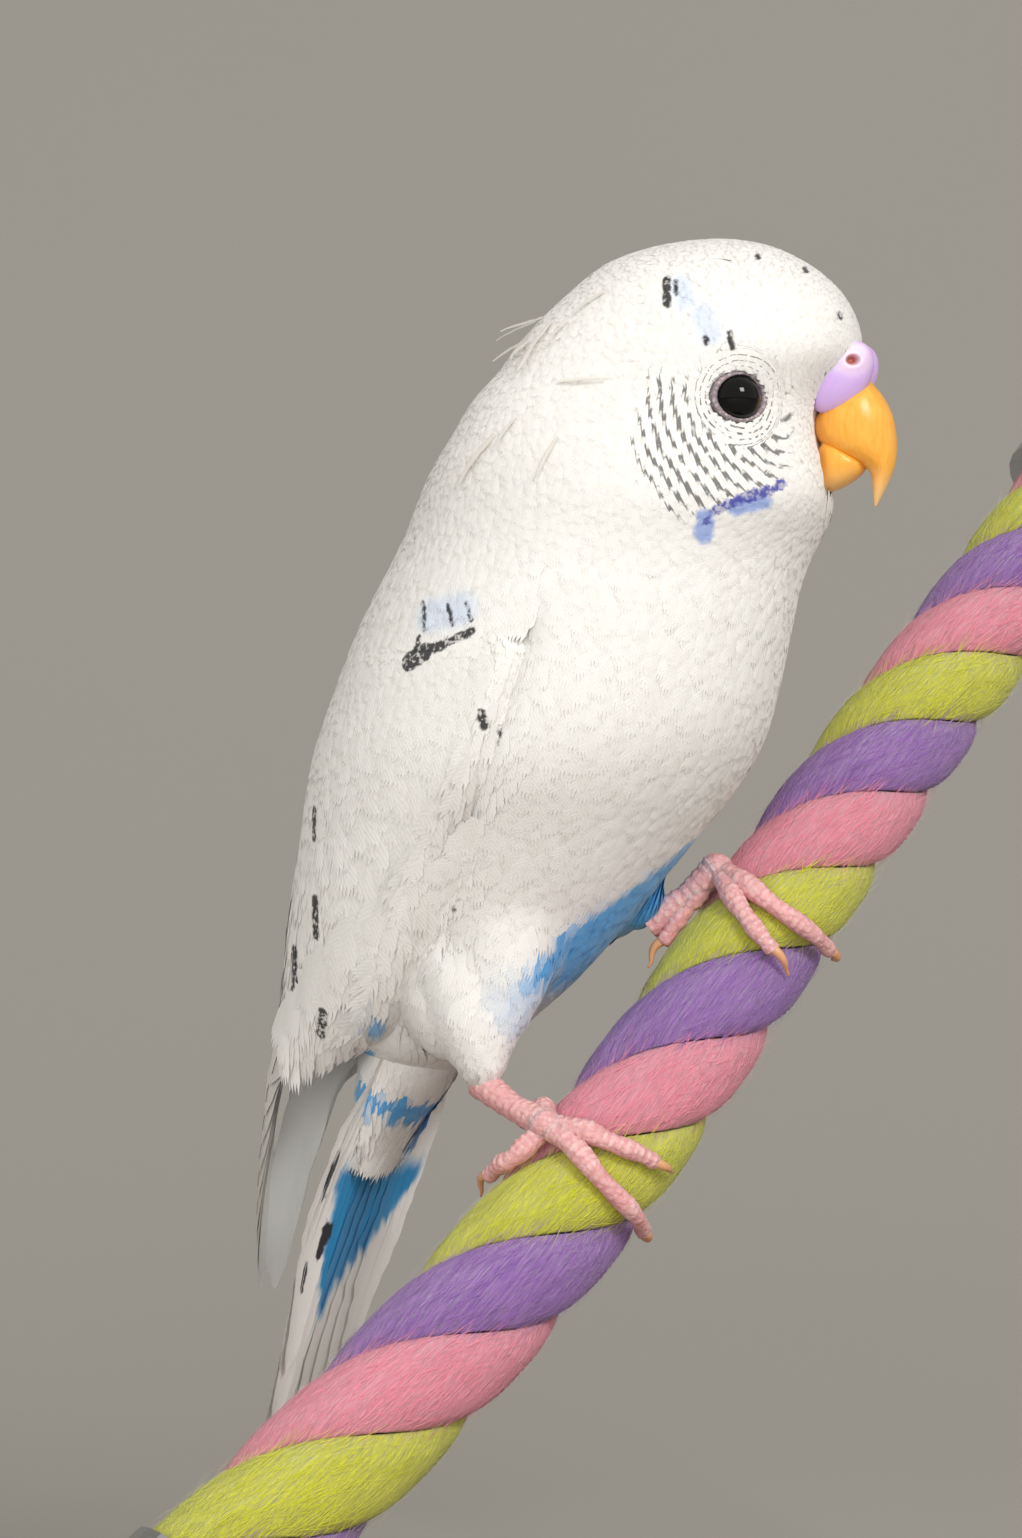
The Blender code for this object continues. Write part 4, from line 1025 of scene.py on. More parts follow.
@dataclass(frozen=True)
class Body:
    """Skin of head, neck and trunk as level sections, and where the wings lie against it."""

    stations: Tuple[Row, ...] = (
        (58.7, 20.4, 0.0, 0.0, 12.0),
        (57.2, 20.6, 7.2, 6.3, 12.0),
        (52.6, 20.4, 13.9, 12.0, 12.0),
        (46.5, 17.9, 18.4, 15.0, 12.0),
        (42.8, 14.8, 18.4, 15.7, 12.0),
        (39.7, 11.8, 19.0, 16.3, 13.0),
        (36.4, 10.4, 20.3, 17.2, 16.0),
        (32.7, 9.1, 22.4, 18.5, 20.0),
        (28.2, 7.7, 24.2, 20.0, 27.0),
        (21.5, 3.8, 24.5, 21.4, 33.0),
        (15.2, 1.1, 25.4, 22.6, 35.0),
        (4.8, -2.7, 26.3, 23.4, 35.0),
        (-1.6, -5.7, 25.6, 22.8, 35.0),
        (-8.8, -7.7, 21.4, 19.3, 35.0),
        (-17.9, -12.2, 17.7, 15.9, 35.0),
        (-24.0, -14.8, 14.4, 13.0, 35.0),
        (-28.9, -17.4, 11.1, 10.0, 35.0),
        (-33.3, -19.4, 7.7, 6.9, 35.0),
        (-35.5, -20.5, 0.0, 0.0, 35.0),
    )
    neck_turn: Tuple[float, float] = (24.0, 39.0)
    wing_front: Tuple[float, float] = (66.0, 78.0)
    wing_top: Tuple[float, float] = (18.0, 14.0)
    wing_bed: float = 3.7
    thigh_right: Tuple[Row, ...] = (
        (-8.0, -8.5, -22.0, 5.6), (-6.0, -8.6, -29.5, 4.4), (-4.8, -8.2, -35.4, 1.9))
    thigh_left: Tuple[Row, ...] = (
        (-3.0, 8.0, -9.0, 6.4), (1.2, 11.0, -14.0, 5.0), (3.8, 12.8, -17.0, 2.2))

    def axis(self, forward: float, up: float) -> Vector:
        """Point of the middle plane, which turns into the head's own plane through the neck."""
        place = POSE.bird_point(forward, 0.0, up)
        turn = smoothstep(self.neck_turn[0], self.neck_turn[1], up)
        level = POSE.head.y - (place.x - POSE.head.x) * math.tan(math.radians(POSE.head_yaw))
        place.y = mix(place.y, level, turn)
        return place

    def point(self, t: float, theta: float, grow: float, bedded: bool = True) -> Vector:
        """Point of the skin.

        Args:
            t: Place along the stations.
            theta: Angle from the front in radians, the left side positive.
            grow: Distance outward from the named sections.
            bedded: Whether the skin sinks under the wings.

        Returns:
            The point.
        """
        up, centre, deep, wide, yaw = spline(self.stations, t)
        deep = max(0.0, deep)
        wide = max(0.0, wide)
        axis = self.axis(centre, up)
        place = axis + turned(deep * math.cos(theta), wide * math.sin(theta), yaw)
        forward, left, height = POSE.in_bird(place)
        _, hull, hull_deep, hull_wide = spline_at(WING.hull, height)
        x = (forward - hull) / hull_deep
        y = left / hull_wide
        depth = (1.0 - math.hypot(x, y)) * 0.5 * (hull_deep + hull_wide)
        angle = math.degrees(math.atan2(abs(y), x))
        share = smoothstep(*self.wing_front, angle) * smoothstep(*self.wing_top, height)
        if bedded and share > 0.0 and depth < self.wing_bed:
            sunk = POSE.bird_point(hull, 0.0, height)
            radius = (place - sunk).length
            if radius > self.wing_bed:
                place = place.lerp(sunk, share * (self.wing_bed - depth) / radius)
        outward = place - axis
        if outward.length > 1e-6:
            place = place + outward.normalized() * grow
        place.z += grow * math.cos(math.pi * t / (len(self.stations) - 1))
        return place

    def mesh(self, grow: float, sides: int, rings: int, bedded: bool = True) -> BMesh:
        """Sphere warped into the whole trunk, neck and head.

        Args:
            grow: Distance outward from the named sections.
            sides: Points round each ring.
            rings: Rings between two stations.
            bedded: Whether the skin sinks under the wings.

        Returns:
            The bmesh.
        """
        spans = len(self.stations) - 1

        def shape(co: Vector) -> Vector:
            """Place of a point of the sphere on the skin."""
            latitude = math.acos(min(1.0, max(-1.0, co.z)))
            return self.point(latitude / math.pi * spans, math.atan2(co.y, co.x), grow, bedded)

        return ball(sides, rings * spans, shape)


@dataclass(frozen=True)
class Wing:
    """The folded wings: their shared outer surface and the rows of feathers on it."""

    hull: Tuple[Row, ...] = (
        (22.0, 4.0, 24.5, 22.1),
        (15.2, 1.1, 25.4, 22.9),
        (4.8, -2.7, 26.3, 23.7),
        (-1.6, -5.7, 25.6, 23.0),
        (-9.0, -9.8, 23.2, 20.9),
        (-18.0, -15.2, 20.3, 18.2),
        (-24.0, -19.0, 18.0, 16.0),
        (-29.0, -22.9, 15.7, 13.5),
        (-33.0, -28.3, 11.6, 11.2),
        (-37.0, -32.8, 8.5, 9.2),
        (-50.0, -38.5, 5.0, 7.0),
        (-62.0, -42.0, 2.5, 5.5),
    )
    depth: float = 3.4
    arm_middle: float = 119.0
    arm_reach: float = 49.0
    arm_height: float = 17.5
    back: float = 166.0

    def on(self, side: int, degrees: float, up: float, depth: float) -> Tuple[Vector, Vector]:
        """Place on a folded wing.

        Args:
            side: 1 for the left wing and -1 for the right.
            degrees: Angle round the body from its front.
            up: Height.
            depth: Distance below the outer surface.

        Returns:
            The point and the outward normal there.
        """
        _, centre, deep, wide = spline_at(self.hull, up)
        a = math.radians(degrees)
        left = side * (wide - depth) * math.sin(a)
        place = POSE.bird_point(centre + (deep - depth) * math.cos(a), left, up)
        normal = turned(math.cos(a) / deep, side * math.sin(a) / wide, POSE.body_yaw).normalized()
        return place, normal

    def angle(self, place: Vector) -> float:
        """Angle of a place round the body from its front, in degrees, the same on both sides."""
        forward, left, up = POSE.in_bird(place)
        _, centre, deep, wide = spline_at(self.hull, min(self.hull[0][0], up))
        return math.degrees(math.atan2(abs(left) / wide, (forward - centre) / deep))

    def arm(self, side: int) -> BMesh:
        """Arm and skin of a wing, a lens that thins toward its edges."""

        def shape(co: Vector) -> Vector:
            """Place of a point of the sphere on the arm."""
            x, y, z = co
            up = -1.0 + self.arm_height * z - 1.0 * x
            thick = mix(0.9, 2.2, smoothstep(-4.0, 12.0, up))
            depth = self.depth - 0.5 * thick + 0.5 * thick * (-y if side > 0 else y)
            return self.on(side, self.arm_middle + self.arm_reach * x, up, depth)[0]

        bm = ball(72, 40, shape)
        bmesh.ops.recalc_face_normals(bm, faces=bm.faces)
        return bm


WING = Wing()
BODY = Body()


@dataclass(frozen=True)
class Lie:
    """Size and spacing of contour feathers at one place."""

    length: float
    half_width: float
    spacing: float
    lift: float


FACE_LIE = Lie(1.2, 0.34, 0.32, 0.05)
CROWN_LIE = Lie(2.1, 0.5, 0.45, 0.10)
NECK_LIE = Lie(3.2, 0.7, 0.6, 0.10)
BELLY_LIE = Lie(5.0, 1.05, 0.82, 0.15)
THIGH_LIE = Lie(3.4, 0.8, 0.65, 0.15)
MANTLE_LIE = Lie(6.2, 1.2, 0.75, 0.12)
ARM_TOP_LIE = Lie(2.8, 0.85, 0.55, 0.07)
ARM_LOW_LIE = Lie(8.4, 1.8, 1.25, 0.14)
FLANK_TOP_LIE = Lie(5.0, 1.1, 0.8, 0.12)
FLANK_LOW_LIE = Lie(8.5, 1.5, 1.0, 0.3)


def blend_lies(a: Lie, b: Lie, share: float) -> Lie:
    """Size of feathers between two sizes."""
    return Lie(mix(a.length, b.length, share), mix(a.half_width, b.half_width, share),
               mix(a.spacing, b.spacing, share), mix(a.lift, b.lift, share))


def crowded(kept: Kept, cell: Tuple[int, ...], place: Sequence[float], least: float) -> bool:
    """Whether a kept point near a cell lies nearer to a place than the square root of least."""
    for dx, dy, dz in NEIGHBOURS:
        for other in kept.get((cell[0] + dx, cell[1] + dy, cell[2] + dz), ()):
            gap = (other[0] - place[0]) ** 2 + (other[1] - place[1]) ** 2 + (other[2] - place[2]) ** 2
            if gap < least:
                return True
    return False


def scattered(bm: BMesh, spacing: Callable[[Vector], float], rng: np.random.Generator) -> List[Vector]:
    """Points spread evenly over a surface at a spacing that varies.

    Args:
        bm: The surface, in millimetres.
        spacing: Least distance between points near a place, or 0 where there are none.
        rng: Source of the draws.

    Returns:
        The points.
    """
    bmesh.ops.triangulate(bm, faces=bm.faces)
    corners = np.array([[tuple(v.co) for v in f.verts] for f in bm.faces])
    middles = corners.mean(axis=1)
    sides = corners[:, 1:] - corners[:, :1]
    area = 0.5 * np.linalg.norm(np.cross(sides[:, 0], sides[:, 1]), axis=1)
    steps = np.array([spacing(Vector(m)) for m in middles])
    want = np.where(steps > 0, area / np.maximum(steps, 0.05) ** 2, 0.0) * OVERDRAW
    picks = rng.choice(len(want), size=int(want.sum()), p=want / want.sum())
    a = rng.random(len(picks))
    b = rng.random(len(picks))
    flip = a + b > 1
    a[flip] = 1 - a[flip]
    b[flip] = 1 - b[flip]
    tri = corners[picks]
    places = tri[:, 0] + (tri[:, 1] - tri[:, 0]) * a[:, None] + (tri[:, 2] - tri[:, 0]) * b[:, None]
    kept: Kept = {}
    result = []
    cell = float(steps.max())
    for place, step in zip(places, steps[picks]):
        key = tuple(int(math.floor(c / cell)) for c in place)
        if not crowded(kept, key, place, step * step * CROWDING):
            kept.setdefault(key, []).append(tuple(place))
            result.append(Vector(place))
    return result


def unwrap(place: Vector, region: float) -> Tuple[float, float]:
    """Place of a root on a cylinder unwrap of the skin, with each region in its own band."""
    forward, left, up = POSE.in_bird(place)
    angle = math.atan2(left, forward + 8.0) / (2.0 * math.pi) + 0.5
    return 0.02 + 0.22 * angle + 0.24 * region, 0.02 + 0.95 * (up + 110.0) / 170.0


def no_marks(_: Vector) -> Dict[str, float]:
    """Paint of plain white feathers."""
    return {}


def dress(bands: Sequence[Feathers], bm: BMesh, lie: Callable[[Vector], Optional[Lie]],
          flow: Callable[[Vector], Vector], paint: Callable[[Vector], Dict[str, float]], region: float,
          rng: np.random.Generator, spread: float = 0.12,
          band: Callable[[Vector], int] = lambda _: 0) -> int:
    """Cover a surface with contour feathers.

    Args:
        bands: Where they go, one set for each band.
        bm: The surface, in millimetres, which is freed.
        lie: Size of the feathers at a place, or None for bare skin.
        flow: Direction in which the coat lies at a place.
        paint: Numbers for the markings at a place.
        region: Band of the unwrap.
        rng: Source of the draws.
        spread: How far a feather may turn from the flow.
        band: Number of the set that a root belongs to.

    Returns:
        The number of feathers.
    """
    bm.normal_update()
    tree = BVHTree.FromBMesh(bm)

    def spacing(place: Vector) -> float:
        """Spacing at a place, or 0 where the skin is bare."""
        found = lie(place)
        return found.spacing if found else 0.0

    shapes, widths, patches, groups = [], [], [], []
    numbers: Dict[str, List[float]] = {key: [] for key in MARKS}
    for place in scattered(bm, spacing, rng):
        found = lie(place)
        if found is None:
            continue
        normal = tree.find_nearest(place)[1]
        way = flow(place)
        way = way - normal * way.dot(normal)
        if way.length < 1e-4:
            continue
        way = (Matrix.Rotation(float(rng.normal(0.0, spread)), 3, normal) @ way).normalized()
        length = found.length * float(rng.uniform(*SIZE_SPREAD))
        middle, out_middle, _, _ = tree.find_nearest(place + way * 0.5 * length)
        end, out_end, _, _ = tree.find_nearest(place + way * length)
        lift = found.lift * float(rng.uniform(*LIFT_SPREAD))
        vectors = (place - normal * ROOT_DEPTH, middle + out_middle * lift * 0.75, end + out_end * lift,
                   way.cross(normal).normalized(), out_middle, out_end)
        shapes.append([tuple(v) for v in vectors])
        widths.append(found.half_width * float(rng.uniform(*SIZE_SPREAD)))
        patches.append(unwrap(place, region))
        groups.append(band(place))
        marks = dict(paint(end), rand=float(rng.random()))
        for key in MARKS:
            numbers[key].append(marks.get(key, 0.0))
    bm.free()
    arrays = [np.array(rows) for rows in (shapes, widths, patches)]
    group = np.array(groups)
    for number, feathers in enumerate(bands):
        mask = group == number
        if mask.any():
            values = {key: np.array(row)[mask] for key, row in numbers.items()}
            COAT.lay(feathers, *[array[mask] for array in arrays], rng, **values)
    return len(shapes)


class Plumage:
    """Skin and contour feathers of the trunk, neck, head, thighs and arms."""

    BILL_ROOT = (15.0, 0.0, 41.0)
    COAT_DEPTH = 0.8
    ROOT_LEVEL = -0.35
    MANTLE_LEVEL = -1.0
    SCAPULAR_FRONT = 71.0
    SCAPULAR_TOP = 23.0
    MANTLE_FRONT = 154.0
    MANTLE_HEIGHTS = (-22.0, 15.0)
    FLANK_ANGLES = (58.0, 158.0)
    FLANK_HEIGHTS = (-3.0, -42.0)
    NAPE_RISE = 1.9
    PIN_RISE = 2.0
    PIN_STEPS = 8
    BARE_FRONT = 14.5
    BARE_HALF = 3.2
    BARE_HEIGHTS = (30.5, 45.2)
    PINS = (
        ((-11.2, 8.9, 47.4), (-14.2, 11.0, 41.8), 0.8, 0.6),
        ((-10.1, 14.1, 41.3), (-4.6, 15.6, 41.7), 0.4, 0.3),
        ((-17.2, 12.7, 35.9), (-21.1, 11.9, 30.8), 0.85, 0.7),
        ((-10.1, 16.4, 35.5), (-12.2, 16.6, 31.1), 0.45, 0.3),
        ((-13.5, 8.2, 45.6), (-15.0, 8.7, 43.2), 0.75, 0.6),
        ((-14.7, 13.6, 37.6), (-16.9, 13.8, 34.2), 0.45, 0.4),
        ((-9.3, 10.5, 47.5), (-11.2, 11.2, 44.7), 0.4, 0.3),
        ((-5.3, 10.3, 50.7), (-8.2, 10.5, 48.4), 0.4, 0.3),
        ((-12.4, 6.0, 48.0), (-15.4, 6.4, 45.6), 0.7, 2.4),
        ((-13.0, 4.8, 47.4), (-15.8, 4.6, 44.6), 0.6, 1.9),
        ((-14.2, 6.8, 45.4), (-16.8, 6.8, 42.6), 0.6, 1.2),
    )
    PALE_FLANK = (-1.5, -7.0, -27.0)
    RUMP_BLUE = (-19.6, 11.6, -32.0)
    FLANKS = (
        ((-12.0, -5.5, -18.0, 8.0), (-10.5, -7.0, -26.0, 6.4), (-8.0, -8.0, -31.5, 3.6)),
        ((-4.0, -6.0, -16.0, 8.0), (-4.0, -7.2, -24.0, 5.4), (-4.2, -8.0, -29.5, 3.2)),
    )

    def __init__(self, finishes: Finishes) -> None:
        """Keep the finishes and seed the draws."""
        self.finishes = finishes
        self.rng = np.random.default_rng(7)

    def blue(self, place: Vector) -> float:
        """Strength of the blue flush low on the belly and on the rump."""
        forward, left, up = POSE.in_bird(place)
        _, centre, deep, wide, _ = spline_at(BODY.stations, up)
        theta = math.degrees(math.atan2(left / max(wide, 1.0), (forward - centre) / max(deep, 1.0)))
        edge = spline_at(((-4.0, 46.0), (-10.0, 16.0), (-14.0, -2.0), (-18.0, -17.0), (-24.0, -34.0),
                          (-30.0, -46.0), (-34.0, -50.0)), min(-4.0, up))[1]
        band = smoothstep(edge - 8.0, edge + 9.0, theta) * smoothstep(90.0 - edge, 68.0 - edge, theta)
        height = smoothstep(-4.0, -10.0, up) * smoothstep(-31.0, -25.0, up)
        fade = mix(1.0, 0.5, smoothstep(-23.5, -27.0, up))
        rump = smoothstep(105.0, 118.0, abs(theta)) * smoothstep(-27.0, -29.0, up)
        flank = Vector((forward, left, up)) - Vector(self.PALE_FLANK)
        pale = 0.42 * smoothstep(7.5, 2.5, flank.length)
        return max(band * height * fade, 0.9 * rump, pale)

    def cheek(self, place: Vector) -> float:
        """Strength of the fine barring on the cheek and round the eye."""
        forward, left, up = POSE.in_head(place)
        left = abs(left)
        if left < 6.0:
            return 0.0
        eye_far = math.hypot(forward - EYE_SPOT[0], up - EYE_SPOT[2])
        focus_far = (Vector((forward, left, up)) - Vector(BAR_FOCUS)).length
        below = smoothstep(44.0, 40.0, up + 0.15 * (forward - 2.0))
        reach = smoothstep(22.0, 19.0, focus_far)
        low = smoothstep(24.5 + 0.45 * max(0.0, forward - 4.0), 27.5 + 0.55 * max(0.0, forward - 4.0), up)
        rear = smoothstep(-3.2, -0.5, forward + 0.12 * (36.0 - up))
        strong = below * reach * low * rear
        ring = 0.55 * smoothstep(6.6, 5.0, eye_far) * smoothstep(3.0, 3.4, eye_far)
        front = smoothstep(15.0, 12.0, forward)
        return max(strong * mix(0.75, 1.0, smoothstep(42.0, 36.0, up)), ring) * front

    def paint(self, place: Vector) -> Dict[str, float]:
        """Numbers for the markings at a place."""
        return {"blue": self.blue(place), "cheek": self.cheek(place)}

    def flow(self, place: Vector) -> Vector:
        """Lie of the coat: back from the bill over the head, then down the body."""
        origin = POSE.head_point(*self.BILL_ROOT)
        away = place - origin
        down = turned(-0.30, 0.0, POSE.body_yaw) + Vector((0.0, 0.0, -0.95))
        share = smoothstep(12.0, 34.0, away.length)
        return away.normalized().lerp(down, share)

    def lie(self, place: Vector) -> Optional[Lie]:
        """Size of the feathers at a place: least at the bill and eye, most on the belly."""
        forward, left, up = POSE.in_head(place)
        for side in (-1, 1):
            offset = Vector((forward, left, up)) - Vector((EYE_SPOT[0], side * EYE_SPOT[1], EYE_SPOT[2]))
            if math.hypot(offset.x / 1.1, offset.z) < 2.75 and offset.length < 5.0:
                return None
        bill = (Vector((forward, left, up)) - Vector(self.BILL_ROOT)).length
        low, high = self.BARE_HEIGHTS
        if forward > self.BARE_FRONT and abs(left) < self.BARE_HALF and low < up < high:
            return None
        b_up = POSE.in_bird(place)[2]
        if self.over_wing(place) or (80.0 < WING.angle(place) < 150.0 and -26.0 < b_up < 17.0):
            return None
        eye_near = min((Vector((forward, abs(left), up)) - Vector(EYE_SPOT)).length, bill - 2.0)
        face = smoothstep(3.0, 12.0, eye_near)
        if b_up > 30.0:
            return blend_lies(FACE_LIE, blend_lies(CROWN_LIE, NECK_LIE, smoothstep(56.0, 32.0, b_up)), face)
        body = blend_lies(NECK_LIE, BELLY_LIE, smoothstep(30.0, 8.0, b_up))
        return blend_lies(body, THIGH_LIE, smoothstep(-20.0, -30.0, b_up))

    def trunk(self, grow: float, voxel: float) -> Object:
        """Closed surface of head, neck, trunk and thighs, blended where they meet.

        Args:
            grow: Distance outward from the named sections.
            voxel: Size of its mesh, in millimetres.

        Returns:
            The object.
        """
        thing = from_bmesh("skin", BODY.mesh(grow, 72, 6), self.finishes.contour)
        for thigh in (BODY.thigh_right, BODY.thigh_left, *self.FLANKS):
            rows = [spline(thigh, i / 6) for i in range(13)]
            path = [POSE.bird_point(f, w, u) for f, w, u, _ in rows]
            leg = tube(path, [r + 0.5 * grow for *_, r in rows], 24)
            joined(thing, from_bmesh("thigh", leg, self.finishes.contour))
        softened(thing, voxel, 30)
        return thing

    def surface(self, thing: Object) -> BMesh:
        """An object's mesh in millimetres, taken out of the scene."""
        bm = bmesh.new()
        bm.from_mesh(thing.data)
        bmesh.ops.scale(bm, vec=(1.0 / MM, 1.0 / MM, 1.0 / MM), verts=bm.verts)
        bpy.data.objects.remove(thing)
        return bm

    def skin(self) -> None:
        """One skin for head, neck, trunk and thighs, without a seam."""
        thing = self.trunk(-self.COAT_DEPTH, 0.7)
        places = [v.co / MM for v in thing.data.vertices]
        blank_marks(thing, rand=np.full(len(places), 0.5), blue=np.array([self.blue(p) for p in places]),
                    cheek=np.array([self.cheek(p) for p in places]))
        spots = np.array([unwrap(place, SKIN_REGION) for place in places])
        indices = np.zeros(len(thing.data.loops), dtype=np.int32)
        thing.data.loops.foreach_get("vertex_index", indices)
        for name in ("OFBake", "Vane"):
            layer = thing.data.uv_layers.new(name=name)
            layer.uv.foreach_set("vector", spots[indices].astype(np.float32).ravel())
        publish(thing, "plumage_white", "head", "neck", "torso", "thigh_left", "thigh_right")

    def band(self, place: Vector) -> int:
        """Set that a contour feather belongs to: face, crown and nape, breast, or back and belly."""
        forward, _, up = POSE.in_head(place)
        if up > 30.0:
            return 0 if forward > 6.0 else 1
        return 2 if POSE.in_bird(place)[0] > 0.0 else 3

    def coat(self) -> None:
        """Contour feathers of head, neck, trunk and thighs, and the scapulars over the wings' tops."""
        names = ("face", "crown", "breast", "back")
        bands = [Feathers("contour_" + name) for name in names]
        surface = self.surface(self.trunk(self.ROOT_LEVEL, 0.6))
        self.loosen(surface, self.NAPE_RISE)
        count = dress(bands, surface, self.lie, self.flow, self.paint, SKIN_REGION, self.rng, band=self.band)
        LOG.info("contour feathers: %d", count)
        for feathers in bands:
            publish(feathers.build(self.finishes.contour), "plumage_white")
        scapulars = Feathers("scapulars")
        for grow, lie, paint in ((self.ROOT_LEVEL, self.scapular_lie, self.paint),
                                 (self.MANTLE_LEVEL, self.mantle_lie, no_marks)):
            dress([scapulars], BODY.mesh(grow, 90, 6, False), lie, self.flow, paint, SOFT_REGION, self.rng)
        publish(scapulars.build(self.finishes.contour), "plumage_white")

    def loosen(self, bm: BMesh, amount: float) -> None:
        """Raise the lie of the loose feathers of the nape."""
        bm.normal_update()
        back = turned(-0.85, 0.0, POSE.head_yaw) + Vector((0.0, 0.0, 0.5))
        for vertex in bm.verts:
            up = POSE.in_head(vertex.co)[2]
            share = smoothstep(0.2, 0.9, vertex.normal.dot(back)) * smoothstep(24.0, 42.0, up)
            vertex.co += vertex.normal * amount * share * smoothstep(59.0, 53.0, up)

    def pins(self) -> None:
        """Slim new feathers still half in their sheaths, and a loose tuft, on the nape of both sides."""
        surface = self.surface(self.trunk(-0.1, 0.9))
        self.loosen(surface, self.PIN_RISE)
        tree = BVHTree.FromBMesh(surface)
        pins = Feathers("pin_feathers")
        for side in (-1, 1):
            for start, end, width, lift in self.PINS:
                a = POSE.head_point(start[0], side * start[1], start[2])
                b = POSE.head_point(end[0], side * end[1], end[2])
                points = []
                normals = []
                for i in range(self.PIN_STEPS + 1):
                    t = i / self.PIN_STEPS
                    spot, normal, _, _ = tree.find_nearest(a.lerp(b, t))
                    points.append(spot + normal * (0.15 + 0.35 * math.sin(math.pi * t) + lift * t ** 1.5))
                    normals.append(normal)
                widths = [width * (0.6 + 0.4 * math.sin(math.pi * min(1.0, i / self.PIN_STEPS + 0.1)))
                          for i in range(self.PIN_STEPS + 1)]
                vane_mesh(pins, points, normals, widths, 0.0, unwrap(a, SOFT_REGION), self.rng, cup=0.3)
        surface.free()
        publish(pins.build(self.finishes.shaft), "plumage_white")

    def over_wing(self, place: Vector) -> bool:
        """Whether a place lies in the band of long feathers that drapes over a wing's top."""
        angle = WING.angle(place)
        low = mix(17.6, 13.0, smoothstep(95.0, 150.0, angle))
        return angle > self.SCAPULAR_FRONT and low < POSE.in_bird(place)[2] < self.SCAPULAR_TOP

    def scapular_lie(self, place: Vector) -> Optional[Lie]:
        """Long soft feathers that drape from the back over the wings' tops."""
        if not self.over_wing(place):
            return None
        share = smoothstep(self.SCAPULAR_TOP, 17.0, POSE.in_bird(place)[2])
        long = mix(4.4, 6.4, smoothstep(75.0, 110.0, WING.angle(place)))
        return Lie(mix(3.5, long, share), mix(0.8, 1.15, share), mix(0.5, 0.62, share),
                   mix(0.02, 0.12, smoothstep(self.SCAPULAR_FRONT, 92.0, WING.angle(place))))

    def mantle_lie(self, place: Vector) -> Optional[Lie]:
        """Long back feathers that fill the gap between the folded wings."""
        low, high = self.MANTLE_HEIGHTS
        if WING.angle(place) < self.MANTLE_FRONT or not low < POSE.in_bird(place)[2] < high:
            return None
        return MANTLE_LIE

    def arms(self) -> None:
        """Skin of each folded arm, under its coverts."""
        for side in Side:
            name = side.name.lower()
            thing = from_bmesh("wing_arm_" + name, WING.arm(side.value), self.finishes.wing)
            blank_marks(thing)
            thing.data.uv_layers.new(name="OFBake")
            publish(thing, "plumage_white", "wing_" + name)

    def sheet(self, side: Side, shape: Callable[[float, float], Row], columns: int, rows: int,
              first: Side, heart: Row) -> BMesh:
        """Surface over a folded wing, which faces outward.

        Args:
            side: The wing.
            shape: Angle, height and depth at a share of the way back and a share of the way down.
            columns: Faces from front to back.
            rows: Faces from top to bottom.
            first: The side whose faces are made in their own order.
            heart: A place within the body.

        Returns:
            The bmesh.
        """
        bm = bmesh.new()
        grid = [[bm.verts.new(WING.on(side.value, *shape(k / columns, i / rows))[0])
                 for k in range(columns + 1)] for i in range(rows + 1)]
        for high, down in zip(grid, grid[1:]):
            for k in range(columns):
                corners = (high[k], high[k + 1], down[k + 1], down[k])
                bm.faces.new(corners if side is first else corners[::-1])
        bm.normal_update()
        middle = bm.faces[:][len(bm.faces) // 2]
        if middle.normal.dot(middle.calc_center_median() - POSE.bird_point(*heart)) < 0.0:
            bmesh.ops.reverse_faces(bm, faces=bm.faces)
        return bm

    def arm_shape(self, u: float, v: float) -> Row:
        """Outer surface of a folded wing above its flight feathers, rounded in at its front and top."""
        up = mix(WING.arm_height, mix(-24.0, -36.0, u), v)
        front = BODY.wing_front[0] + 8.0 * smoothstep(12.0, 17.5, up) + 6.0 * smoothstep(0.0, -12.0, up)
        angle = mix(front, WING.back, u)
        edge = 1.0 - smoothstep(0.0, 9.0, angle - front)
        lip = math.exp(-((angle - front - 9.0) / 6.0) ** 2) * smoothstep(-14.0, -2.0, up)
        lip *= smoothstep(15.0, 10.0, up)
        depth = 0.45 + 1.8 * edge ** 1.5 + 1.2 * smoothstep(13.0, 17.5, up) - 0.4 * lip
        return angle, up, depth + 0.5 * smoothstep(-12.0, -26.0, up)

    def arm_lie(self, place: Vector) -> Optional[Lie]:
        """Small rounded coverts of the arm, larger lower down."""
        up = POSE.in_bird(place)[2]
        if up < mix(-11.0, -23.0, smoothstep(70.0, 150.0, WING.angle(place))):
            return None
        return blend_lies(ARM_TOP_LIE, ARM_LOW_LIE, smoothstep(17.0, -10.0, up))

    def arm_flow(self, _: Vector) -> Vector:
        """Lie of the coverts, down and back."""
        return turned(-0.34, 0.0, POSE.body_yaw) + Vector((0.0, 0.0, -0.94))

    def drape_shape(self, u: float, v: float) -> Row:
        """Surface that runs from the flank over the low front edge of a folded wing."""
        tuck = mix(1.0, 2.7, smoothstep(0.0, 0.6, v))
        angle = mix(*self.FLANK_ANGLES, u)
        return angle, mix(*self.FLANK_HEIGHTS, v), mix(tuck, 0.25, smoothstep(60.0, 80.0, angle))

    def drape_lie(self, place: Vector) -> Optional[Lie]:
        """Long soft flank feathers, which reach farther back lower down."""
        up = POSE.in_bird(place)[2]
        if not -29.0 < up < -5.0:
            return None
        reach = mix(74.0, 128.0, smoothstep(-6.0, -29.0, up))
        if not 60.0 < WING.angle(place) < reach:
            return None
        return blend_lies(FLANK_TOP_LIE, FLANK_LOW_LIE, smoothstep(-9.0, -20.0, up))

    def drape_paint(self, place: Vector) -> Dict[str, float]:
        """Blue of the rump where it shows past the flank feathers."""
        forward, left, up = POSE.in_bird(place)
        offset = Vector((forward, abs(left), up)) - Vector(self.RUMP_BLUE)
        return {"blue": smoothstep(3.4, 1.6, offset.length)}

